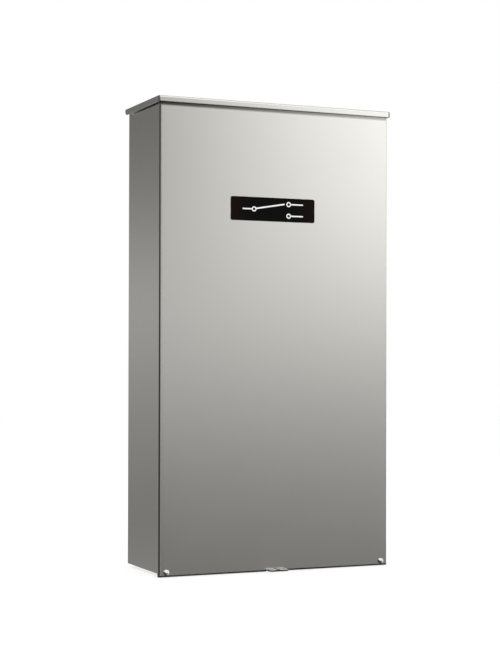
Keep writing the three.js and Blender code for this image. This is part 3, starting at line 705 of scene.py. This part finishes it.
def boxes(name, material, body, radius, extents):
    """A piece of round-edged boxes, each (x0, x1, y0, y1, z0, z1)."""
    shape = Shape()
    for extent in extents:
        shape.box(*extent, radius=radius)
    shape.ride(name, material, body)


# ------------------------------------------------------------------ badge
# A plain change-over symbol, raised from the black plate.
BADGE_FRONT, BADGE_BACK = -161.42, -161.05
BADGE_Z = 590
BADGE_DEPTHS = (BADGE_FRONT, BADGE_BACK)
symbol = Shape()
symbol.bar(-62, BADGE_Z, -45.4, BADGE_Z, 2.2, BADGE_DEPTHS)
symbol.annulus(-41.8, BADGE_Z, 4.2, 2.3, BADGE_DEPTHS)
symbol.bar(-38.0, 591.0, 12.6, 599.6, 2.4, (BADGE_FRONT - 0.02, BADGE_BACK))
for z in (BADGE_Z + 9.5, BADGE_Z - 9.5):
    symbol.annulus(20.2, z, 4.2, 2.3, BADGE_DEPTHS)
    symbol.bar(23.8, z, 46, z, 2.2, BADGE_DEPTHS)
symbol.ride("badge_symbol", "mark", "cover")

# ------------------------------------------------------------------ screws, bolts and rings
BUS_BOLT_Z = 484
bolts = Shape()
for x in POLE_X:
    bolts.hex_bolt(x, -78.05, BUS_BOLT_Z, across_flats=10, height=4.2, washer_radius=7.2,
                   washer_height=1.4)
bolts.ride("bus_bolts", "zinc", "enclosure")

NUT_PROFILE = [(0, -0.1), (5.6, -0.1), (5.8, 0.6), (5.8, 4.2), (5.2, 5.0), (3.2, 5.0),
               (3.0, 6.4), (0, 6.6)]
nuts = Shape()
for x in POLE_X:
    nuts.turned(NUT_PROFILE, (x, -70.0, BUS_BOLT_Z), BACK, sides=6)
nuts.ride("bus_nuts", "zinc", "enclosure", sharp_angle=25)

# name, material, x places, y of the seat, z places, head radius, head height
SOCKET_SCREWS = [
    ("bracket_screws", "screw", (-77, 77), -4.0, (572, 688), 4.2, 2.8),
    ("breaker_screws", "screw", (-61, 61), -28.0, (572, 688), 3.6, 2.4),
    ("base_screws", "screw", (-121, 81), -14.0, (332, 458), 4.4, 2.8),
    ("plate_screws", "screw", (-64.4, 64.4), -17.0, (350, 440), 3.2, 2.2),
    ("neutral_screws", "screw", (144,), -48.0, (324, 360, 396), 4.6, 2.6),
    ("neutral_fixings", "zinc", (108, 180), -8.0, (310, 421), 2.9, 2.0),
    ("ground_screws", "zinc", [72 + 12.5 * i for i in range(9)], -18.0, (62,), 3.7, 2.6),
    ("controller_screws", "screw", (-182, -74), -6.0, (60.5, 179.5), 2.7, 1.8),
    ("controller_terminals", "zinc", CONTROLLER_X, -41.0, (91.5,), 3.3, 1.9),
    ("fuse_block_screws", "screw", (-33.5, -6.5), -10.0, (163,), 3.2, 2.0),
    ("strip_screws", "zinc", STRIP_X, -21.2, (226.2, 233.8), 3.1, 2.0),
]
for name, material, x_places, y, z_places, radius, height in SOCKET_SCREWS:
    screws = Shape()
    for x in x_places:
        for z in z_places:
            screws.socket_screw(x, y, z, radius, height)
    screws.ride(name, material, "enclosure")

boxes("strip_clamps", "zinc", "enclosure", 0.3,
      [(x - 5.4, x + 5.4, -21.3, -19.9, z - 3.6, z + 3.6)
       for x in STRIP_X for z in (226.0, 234.0)])

ground_screw = Shape()
ground_screw.hex_bolt(44, -2.0, 62, across_flats=8, height=4.0, washer_radius=7.0,
                      washer_height=1.2)
ground_screw.ride("ground_screw", "green", "enclosure")

RING_PROFILE = [(6.05, 0), (9.2, 0), (9.4, 0.2), (9.4, 1.0), (9.2, 1.2), (6.05, 1.2),
                (6.05, 0)]
shaft_rings = Shape()
for x in (-60.8, 58.9):
    shaft_rings.turned(RING_PROFILE, (x, SHAFT_Y, SHAFT_Z), RIGHT, sides=28)
shaft_rings.ride("shaft_rings", "zinc", "transfer_shaft")

CRANK_LENGTH = 28
CRANK_ANGLE = math.radians(17)             # above the forward direction
CLIP_PROFILE = [(0, 0), (1.2, 0), (4.0, 0.0), (4.2, 0.2), (4.2, 0.7), (4.0, 0.9), (1.2, 0.9),
                (0, 0.9)]
crank_clip = Shape()
crank_clip.turned(CLIP_PROFILE, (-104.7, SHAFT_Y - CRANK_LENGTH * math.cos(CRANK_ANGLE),
                                 SHAFT_Z + CRANK_LENGTH * math.sin(CRANK_ANGLE)),
                  RIGHT, sides=20)
crank_clip.ride("crank_clip", "zinc", "transfer_shaft")

# The upper button points down and the lower one up, towards the shaft.
BUTTON_PROFILE = [(0, 0), (1.9, 0), (1.9, 1.6), (1.4, 3.8), (0, 4.3)]
buttons = Shape()
for side in (1, -1):
    buttons.turned([(radius, -side * height) for radius, height in BUTTON_PROFILE],
                   (SWITCH_X, -60, SHAFT_Z + side * 24.1), UP, sides=16)
buttons.ride("switch_buttons", "red", "enclosure")

# ------------------------------------------------------------------ bus bar sleeves
for name, material, x in zip(("sleeve_left", "sleeve_right"), ("black", "red"), POLE_X):
    boxes(name, material, "enclosure", 0.6, [(x - 9.8, x + 9.8, -64.9, -59.1, 524, 549)])

# ------------------------------------------------------------------ breaker front
MARK_DEPTHS = (-102.25, -101.9)
marks = Shape()
for x in (24, -24):
    marks.bar(x, 640.5, x, 648.5, 1.6, MARK_DEPTHS)
    marks.annulus(x, 616, 4.0, 2.7, MARK_DEPTHS)
marks.ride("breaker_marks", "mark", "enclosure")

LABEL_LEFTS = (-46, 4)
boxes("breaker_label", "label", "enclosure", 0.12,
      [(left, left + 42, -84.3, -83.9, 551.5, 566.5) for left in LABEL_LEFTS])
boxes("breaker_label_rules", "ink", "enclosure", 0.05,
      [(left + 3, left + end, -84.42, -84.25, z, z + 0.7)
       for left in LABEL_LEFTS for z, end in ((563, 38), (560, 30), (557, 36), (554, 24))])

RIVET_PROFILE = [(0, -0.2), (3.0, -0.2), (3.0, 0.3), (2.2, 0.9), (1.1, 1.1), (0.9, 0.5),
                 (0, 0.5)]
rivets = Shape()
for x in (-45, 45):
    for z in (580, 680):
        rivets.turned(RIVET_PROFILE, (x, -92.0, z), FRONT, sides=20)
rivets.ride("breaker_rivets", "zinc", "enclosure")

boxes("breaker_ribs", "black", "enclosure", 0.25,
      [(x - 0.7, x + 0.7, -93.2, -91.7, bottom, bottom + 12.5)
       for bottom in (577.5, 670)
       for x in (-38, -34, -30, -26, -22, 22, 26, 30, 34, 38)])

# ------------------------------------------------------------------ flexible braids
# From the load bars to the moving contacts; (y, z) stations along the middle.
BRAID_PATH = [(-30.6, 404), (-32.4, 411), (-36.5, 412.5), (-40.5, 407), (-43.0, 398.5),
              (-46.2, 390.5), (-50.0, 388.6), (-52.6, 391.2)]
BRAID_HALF_WIDTH = 6.5
BRAID_HALF_THICKNESS = 1.15
BRAID_COLUMNS = 10
BRAID_WEAVE = 0.28                         # how far the strands rise and sink


def braid(name, x):
    """A flat strap with strands, thinner at its edges."""
    path = list(zip(*(rounded(values, steps=7) for values in zip(*BRAID_PATH))))
    columns = range(BRAID_COLUMNS + 1)
    around = [(1, j) for j in columns] + [(-1, j) for j in reversed(columns)]
    shape = Shape()
    rings = []
    for i, (y, z) in enumerate(path):
        before, after = path[max(i - 1, 0)], path[min(i + 1, len(path) - 1)]
        length = math.hypot(after[0] - before[0], after[1] - before[1])
        normal_y = -(after[1] - before[1]) / length
        normal_z = (after[0] - before[0]) / length
        points = []
        for face, j in around:
            across = -1 + 2 * j / BRAID_COLUMNS
            weave = BRAID_WEAVE * (1 if (j + i) % 2 else -1)
            rise = (BRAID_HALF_THICKNESS * (1 - 0.35 * across ** 4) + weave) * face
            points.append(at(x + across * BRAID_HALF_WIDTH, y + normal_y * rise,
                             z + normal_z * rise))
        rings.append(shape.ring(points))
    shape.loft(rings)
    shape.cap(rings)
    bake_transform(shape.to_object(name, "copper"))


for name, x in zip(("braid_left", "braid_right"), POLE_X):
    braid(name, x)
boxes("braid_clamps", "zinc", "enclosure", 0.4,
      [(x - 7.4, x + 7.4, -33.6, -30.9, 399, 405.4) for x in POLE_X])


# ------------------------------------------------------------------ wiring
# Each run is a list of (x, y, z) stations. Wires side by side are 2.7 apart.
WIRE_PITCH = 2.7


def wires(name, material, runs, radius=1.25):
    shape = Shape()
    for run in runs:
        shape.tube(run, radius)
    shape.ride(name, material, "enclosure", sharp_angle=60)


def into_strip(x):
    """The last stations into the top of a strip terminal."""
    return [(x, -21.9, 244), (x, -22.0, 238.2)]


def coil_wire(i, coil_z, lead_heights, trunk_top):
    """From a coil to the left, down the trunk and right to strip terminal i."""
    x, y = TRUNK_X[i % 2], TRUNK_Y[i // 2]
    end = STRIP_X[i]
    lead = [(*place, z) for place, z in
            zip([(-116.5, -88), (-121, -70), (-124, -40), (-131, -17)], lead_heights)]
    return [(-110.6, -92, coil_z), *lead,
            (x, y - 1, trunk_top - 26), (x, y, trunk_top - 50), (x, y, 300),
            (x + 1, y, 284), (x + 9, y - 1, 267), (x + 26, y - 2, 259.5 - i),
            (min(end - 12, x + 46), -13.5, 257 - i), (end - 3.5, -16, 255.5 - i),
            (end, -19.5, 250), *into_strip(end)]


def switch_wire(i):
    """From a limit switch down the right side, then left to the strip."""
    z, end = SWITCH_Z[i], STRIP_X[4 + i]
    shift = WIRE_PITCH * i
    return [(SWITCH_X, -41.0, z), (68, -33, z), (76, -22, z - 1), (86, -17.5, z - 5),
            (94 + shift, -13, z - 14), (94.5 + shift, -8.5, z - 34),
            (94.5 + shift, -7.5, 320 - 8 * i), (94.5 + shift, -7.5, 290),
            (92 + 2 * i, -8, 268), (80, -8.5, 257.5 - shift), (50, -9, 254.5 - shift),
            (24 + 3 * i, -10, 254 - shift), (end + 3.5, -15, 253 - i),
            (end, -19.5, 249.5), *into_strip(end)]


def fuse_top_wire(x, end):
    """From the top of a fuse up to the bottom of a strip terminal."""
    return [(x, -15.5, 200.5), (x, -15.8, 205), (x + (end - x) * 0.3, -18, 211),
            (x + (end - x) * 0.8, -21, 216), (end, -22.0, 221.8)]


def fuse_bottom_wire(k):
    """From the bottom of a fuse down, left and up to a controller terminal."""
    x, end = FUSE_X[k], CONTROLLER_X[4 - k]
    shift = WIRE_PITCH * k
    return [(x, -15.5, 125.5), (x, -16, 120), (x - 1, -18, 104), (x - 6, -21, 66),
            (x - 18, -24, 44 + shift), (-84 - 5 * k, -26, 36 + shift),
            (end + 14, -31, 36 + shift), (end + 4, -39, 43 + k), (end, -43.6, 56),
            (end, -45.6, 70), (end, -44.3, 80), (end, -42.6, 87.0)]


def controller_wire(k):
    """From the strip around the controller's left side to its terminals."""
    start, end = STRIP_X[k], CONTROLLER_X[1 - k]
    shift = 2.6 * k
    return [(start, -22.0, 221.8), (start, -21.5, 214), (-80 + 10 * k, -14, 206),
            (-120 + 6 * k, -8.5 - WIRE_PITCH * k, 200 + k), (-186 - shift, -8.5, 190 + k),
            (-191.5 - shift, -9, 170), (-191.5 - shift, -10, 90),
            (-190.5 - shift, -20, 66), (-184 - 2 * k, -36, 55.5), (end - 5, -43.8, 56),
            (end, -45.4, 65), (end, -45.2, 77), (end, -42.6, 87.0)]


wires("wires_utility_coil", "yellow",
      [coil_wire(i, 433 + 6 * i, (436, 436, 434, 428), trunk_top=440) for i in (0, 1)])
wires("wires_standby_coil", "blue",
      [coil_wire(i, 357 - 6 * (i - 2), (352, 350, 348, 342), trunk_top=350) for i in (2, 3)])
wires("wires_limit_switches", "red", [switch_wire(i) for i in range(2)])
wires("wires_fuse_top", "black",
      [fuse_top_wire(x, end) for x, end in zip(FUSE_X, STRIP_X[2:5])])
wires("wires_fuse_bottom", "black", [fuse_bottom_wire(k) for k in range(3)])
wires("wires_controller", "blue", [controller_wire(k) for k in range(2)])
GROUND_RUN = [(44, -4.6, 62), (38, -8, 56), (40, -13, 48), (52, -16, 43), (64, -16, 44),
              (71.4, -14.4, 50), (72, -14.2, 57)]
wires("wire_ground", "green", [GROUND_RUN], radius=1.7)

tabs = Shape()
for x in FUSE_X:
    for bottom in (192.0, 123.9):
        tabs.box(x - 2.0, x + 2.0, -16.0, -15.0, bottom, bottom + 10, radius=0.15, segments=1)
for z in SWITCH_Z:
    tabs.box(SWITCH_X - 1.8, SWITCH_X + 1.8, -42.1, -38.6, z - 0.5, z + 0.5, radius=0.15,
             segments=1)
tabs.ride("quick_tabs", "brass", "enclosure")

# Oval bands around the trunk, each with a small block on its right.
TIE_X, TIE_Y = sum(TRUNK_X) / 2, sum(TRUNK_Y) / 2
TIE_REACH_X, TIE_REACH_Y = 3.3, 2.9        # inner half sizes
TIE_THICKNESS = 0.9
TIE_HALF_HEIGHT = 1.3
TIE_ANGLES = [2 * math.pi * i / 20 for i in range(20)]
ties = Shape()
for z in (404, 372, 330, 302):
    rings = [ties.ring(at(TIE_X + (TIE_REACH_X + offset) * math.cos(a),
                          TIE_Y + (TIE_REACH_Y + offset) * math.sin(a), z + rise)
                       for a in TIE_ANGLES)
             for offset, rise in ((0, -TIE_HALF_HEIGHT), (TIE_THICKNESS, -TIE_HALF_HEIGHT),
                                  (TIE_THICKNESS, TIE_HALF_HEIGHT), (0, TIE_HALF_HEIGHT))]
    ties.loft(rings + rings[:1])
    ties.box(TIE_X + 2.6, TIE_X + 6.4, TIE_Y - 2.6, TIE_Y + 0.6, z - 2.0, z + 2.0, radius=0.4)
ties.ride("cable_ties", "white", "enclosure")
boxes("tie_mounts", "white", "enclosure", 0.6,
      [(-147, -137.3, -5.8, -1.9, z - 4.5, z + 4.5) for z in (372, 302)])

# ------------------------------------------------------------------ controller face
LENS_PROFILE = [(0, -0.3), (2.1, -0.3), (2.1, 0.6), (1.7, 1.5), (0.9, 2.0), (0, 2.1)]
for color, x in zip(("green", "yellow", "red"), LENS_X):
    lens = Shape()
    lens.turned(LENS_PROFILE, (x, -44, LENS_Z), FRONT, sides=20)
    lens.ride("lens_" + color, color, "enclosure")
bezels = Shape()
for x in LENS_X:
    bezels.annulus(x, LENS_Z, 3.6, 2.2, (-44.7, -43.8), sides=24)
bezels.annulus(-108, LENS_Z, 6.4, 4.7, (-44.8, -43.8), sides=28)
bezels.ride("lens_bezels", "grey", "enclosure")

boxes("controller_legend", "label", "enclosure", 0.1,
      [(-170, -86, -44.2, -43.9, 108, 130), (-166, -130, -44.2, -43.9, 160, 168)])
boxes("controller_rules", "ink", "enclosure", 0.05,
      [(-166, -166 + width, -44.33, -44.15, z, z + 0.7)
       for z, width in ((126, 60), (121.5, 72), (117, 52), (112.5, 66))]
      + [(x - 2.5, x + 2.5, -44.2, -43.9, 102.4, 103.2) for x in CONTROLLER_X])

# ------------------------------------------------------------------ labels
# A plain wiring diagram on the inside of the cover.
boxes("diagram_sheet", "label", "cover", 0.08, [(-92, 92, -158.02, -157.75, 300, 440)])
LINE_DEPTHS = (-157.6, -157.8)
lines = [(x, top, x, bottom, 1.0)
         for x in (-70, -40, 40, 70) for top, bottom in ((420, 385), (350, 316))]
for x0, x1, z0, z1 in ((-80, -30, 352, 384), (30, 80, 352, 384), (-18, 18, 356, 380)):
    lines += [(x0, z0, x1, z0, 1.0), (x0, z1, x1, z1, 1.0),
              (x0, z0, x0, z1, 1.0), (x1, z0, x1, z1, 1.0)]
lines += [(-30, 368, -18, 368, 1.0), (18, 368, 30, 368, 1.0),
          (-80, 428, 80, 428, 1.6), (-80, 310, 20, 310, 1.6)]
diagram = Shape()
for line in lines:
    diagram.bar(*line, LINE_DEPTHS)
diagram.ride("diagram_lines", "ink", "cover")

# A blank rating plate on the back wall.
boxes("rating_plate", "label", "enclosure", 0.08, [(104, 180, -2.3, -1.9, 468, 540)])
boxes("rating_rules", "ink", "enclosure", 0.05,
      [(110, 110 + width, -2.45, -2.2, z, z + 1.1)
       for z, width in ((530, 62), (522, 46), (514, 58), (506, 40), (498, 62), (490, 52),
                        (482, 34), (475, 60))])


# ------------------------------------------------------------------ stage (metres)
def stage_material():
    """Glowing white, but clear from below, so that the underside shows."""
    material = bpy.data.materials.new("stage_white")
    material.use_nodes = True
    shader = Shader(material.node_tree)
    diffuse = shader.node("ShaderNodeBsdfDiffuse", {"Color": (0.30, 0.30, 0.298, 1)})
    glow = shader.node("ShaderNodeEmission",
                       {"Color": (1.0, 1.0, 0.995, 1), "Strength": 0.76})
    white = shader.node("ShaderNodeAddShader", {0: diffuse.outputs[0], 1: glow.outputs[0]})
    below = shader.node("ShaderNodeNewGeometry").outputs["Backfacing"]
    clear = shader.node("ShaderNodeBsdfTransparent")
    mixed = shader.node("ShaderNodeMixShader",
                        {0: below, 1: white.outputs[0], 2: clear.outputs[0]})
    shader.node("ShaderNodeOutputMaterial", {0: mixed.outputs[0]})
    return material


FLOOR_Z = -0.3835
FLOOR_SIZE = 12
FLOOR_CELLS = 40


def build_floor():
    grid = bmesh.new()
    steps = [-FLOOR_SIZE / 2 + FLOOR_SIZE * i / FLOOR_CELLS for i in range(FLOOR_CELLS + 1)]
    rows = [[grid.verts.new((x, y, FLOOR_Z)) for x in steps] for y in steps]
    for row, following in zip(rows, rows[1:]):
        for j in range(FLOOR_CELLS):
            grid.faces.new((row[j], row[j + 1], following[j + 1], following[j]))
    data = bpy.data.meshes.new("floor")
    grid.to_mesh(data)
    grid.free()
    floor = bpy.data.objects.new("floor", data)
    data.materials.append(stage_material())
    scene.collection.objects.link(floor)
    floor.visible_glossy = False


build_floor()

# ------------------------------------------------------------------ world
# Brightness of the surroundings at each elevation in degrees, seen only in reflections.
ELEVATIONS = [-90, -40, -26, -18, -13, -9, -6, -3.5, -1.5, 0.5, 2.5, 5, 8, 12, 18, 28, 50, 90]
LEFT_OF_KEY = [0.423, 0.392, 0.360, 0.313, 0.229, 0.105, 0.030, 0.074, 0.514, 0.913, 0.735,
               0.175, 0.030, 0.119, 0.305, 0.495, 0.689, 0.874]
KEY_BOX = [0.371, 0.236, 0.107, 0.030, 0.036, 0.143, 0.239, 0.205, 0.249, 0.590, 1.090,
           1.445, 1.640, 1.755, 1.740, 1.550, 1.237, 0.884]
BEHIND = [0.465, 0.453, 0.435, 0.409, 0.362, 0.297, 0.162, 0.245, 0.279, 0.389, 0.465,
          0.261, 0.153, 0.139, 0.240, 0.560, 0.720, 0.780]
ELSEWHERE = [0.30, 0.36, 0.46, 0.52, 0.48, 0.40, 0.34, 0.33, 0.38, 0.46, 0.54, 0.60, 0.66,
             0.72, 0.76, 0.78, 0.80, 0.84]
BRIGHTEST = 2          # ramp colours are divided by this, and the background multiplied
SQUEEZE = 0.25         # radians; smaller values give the horizon more of the ramp


class Sky(Shader):
    """World shader; azimuth is 0 towards -Y and positive towards +X."""

    def __init__(self, tree):
        super().__init__(tree)
        self.x, self.y, z = self.split(self.coordinates("Generated"))
        self.azimuth = self.math("ARCTAN2", self.x, self.multiply(self.y, by=-1.0))
        limited = self.math("MINIMUM", self.maximum(z, -1.0), 1.0)
        self.elevation = self.math("ARCSINE", limited)
        spread = self.add(self.math("ABSOLUTE", self.elevation), SQUEEZE)
        half = self.multiply(self.elevation, by=0.5)
        self.ramp_place = self.add(0.5, self.math("DIVIDE", half, spread))

    def by_height(self, values):
        """Brightness by elevation, as a color ramp."""
        node = self.node("ShaderNodeValToRGB", {0: self.ramp_place})
        colors = node.color_ramp
        colors.interpolation = "LINEAR"
        for end, position in ((0, 0.0), (-1, 1.0)):
            colors.elements[end].position = position
            colors.elements[end].color = (values[end] / BRIGHTEST,) * 3 + (1,)
        for degrees, value in zip(ELEVATIONS, values):
            angle = math.radians(degrees)
            element = colors.elements.new(0.5 + 0.5 * angle / (abs(angle) + SQUEEZE))
            element.color = (value / BRIGHTEST,) * 3 + (1,)
        return node.outputs[0]

    def toward(self, azimuth, near, far):
        """1 within near degrees of an azimuth, 0 beyond far degrees."""
        angle = math.radians(azimuth)
        squares = self.add(self.multiply(self.x, self.x), self.multiply(self.y, self.y),
                           1e-6)   # keeps the division safe straight up and down
        level_length = self.math("SQRT", squares)
        along = self.add(self.multiply(self.x, by=math.sin(angle)),
                         self.multiply(self.y, by=-math.cos(angle)))
        cosine = self.math("DIVIDE", along, level_length)
        return self.ramp(cosine, start=math.cos(math.radians(far)),
                         end=math.cos(math.radians(near)))

    def background(self, color, strength):
        inputs = {"Color": color, "Strength": strength}
        return self.node("ShaderNodeBackground", inputs).outputs[0]


def build_world():
    world = bpy.data.worlds.new("studio")
    scene.world = world
    world.use_nodes = True
    sky = Sky(world.node_tree)
    at_key = sky.ramp(sky.azimuth, start=math.radians(17), end=math.radians(31))
    front = sky.mix(at_key, sky.by_height(LEFT_OF_KEY), sky.by_height(KEY_BOX))
    # the room is brightest at the front left and darkest at the back right
    turned = sky.math("COSINE", sky.add(sky.azimuth, math.radians(45)))
    around = sky.add(1.0, sky.multiply(turned, by=0.30))
    room = sky.node("ShaderNodeVectorMath", {0: sky.by_height(ELSEWHERE), "Scale": around},
                    operation="SCALE").outputs[0]
    surroundings = sky.mix(sky.toward(azimuth=24, near=22, far=56), room, front)
    surroundings = sky.mix(sky.toward(azimuth=-160, near=24, far=44), surroundings,
                           sky.by_height(BEHIND))
    white = (1, 1, 1, 1)
    reflected = sky.background(surroundings, strength=float(BRIGHTEST))
    ambient = sky.background(white, strength=sky.ramp(sky.elevation, start=-0.5, end=0.9,
                                                      low=0.42, high=0.85))
    seen = sky.background(white, strength=1.0)
    rays = sky.node("ShaderNodeLightPath").outputs
    lighting = sky.node("ShaderNodeMixShader",
                        {0: rays["Is Glossy Ray"], 1: ambient, 2: reflected}).outputs[0]
    mixed = sky.node("ShaderNodeMixShader",
                     {0: rays["Is Camera Ray"], 1: lighting, 2: seen}).outputs[0]
    sky.node("ShaderNodeOutputWorld", {0: mixed})


build_world()

# ------------------------------------------------------------------ lights (metres, watts)
LIGHT_TARGET = Vector((0, -0.1, 0.0))
# name, location, (width, height), power
LIGHTS = [
    ("key", (1.9, -2.6, 1.7), (1.8, 1.8), 42.0),
    ("fill", (-2.6, -2.0, 0.4), (1.6, 2.2), 14.0),
    ("top", (-0.2, 0.2, 2.6), (2.0, 1.6), 16.0),
]
for name, location, size, power in LIGHTS:
    light = bpy.data.lights.new(name, "AREA")
    light.shape = "RECTANGLE"
    light.size, light.size_y = size
    light.energy = power
    lamp = bpy.data.objects.new(name, light)
    scene.collection.objects.link(lamp)
    lamp.location = location
    lamp.rotation_mode = "QUATERNION"
    lamp.rotation_quaternion = (LIGHT_TARGET - Vector(location)).to_track_quat("-Z", "Y")
    lamp.visible_glossy = False
    lamp.visible_camera = False

# ------------------------------------------------------------------ camera (metres)
CAMERA_PLACE = (-1.073, -2.498, -0.03925)
YAW, PITCH, ROLL = math.radians(-23.67), math.radians(0.994), math.radians(0.11)


def camera_rotation():
    """Turned from +Y by the yaw, then raised by the pitch, then rolled."""
    turn = Matrix.Rotation(YAW, 3, "Z")
    ahead, right = turn @ BACK, turn @ RIGHT
    forward = ahead * math.cos(PITCH) + UP * math.sin(PITCH)
    above = UP * math.cos(PITCH) - ahead * math.sin(PITCH)
    rolled_right = right * math.cos(ROLL) + above * math.sin(ROLL)
    rolled_up = above * math.cos(ROLL) - right * math.sin(ROLL)
    return Matrix((rolled_right, rolled_up, -forward)).transposed()


lens_data = bpy.data.cameras.new("camera")
lens_data.sensor_width = 36.0
lens_data.sensor_fit = "AUTO"
lens_data.lens = 84.9
lens_data.clip_start = 0.05
lens_data.clip_end = 60.0
camera = bpy.data.objects.new("camera", lens_data)
scene.collection.objects.link(camera)
camera.matrix_world = Matrix.Translation(CAMERA_PLACE) @ camera_rotation().to_4x4()
scene.camera = camera
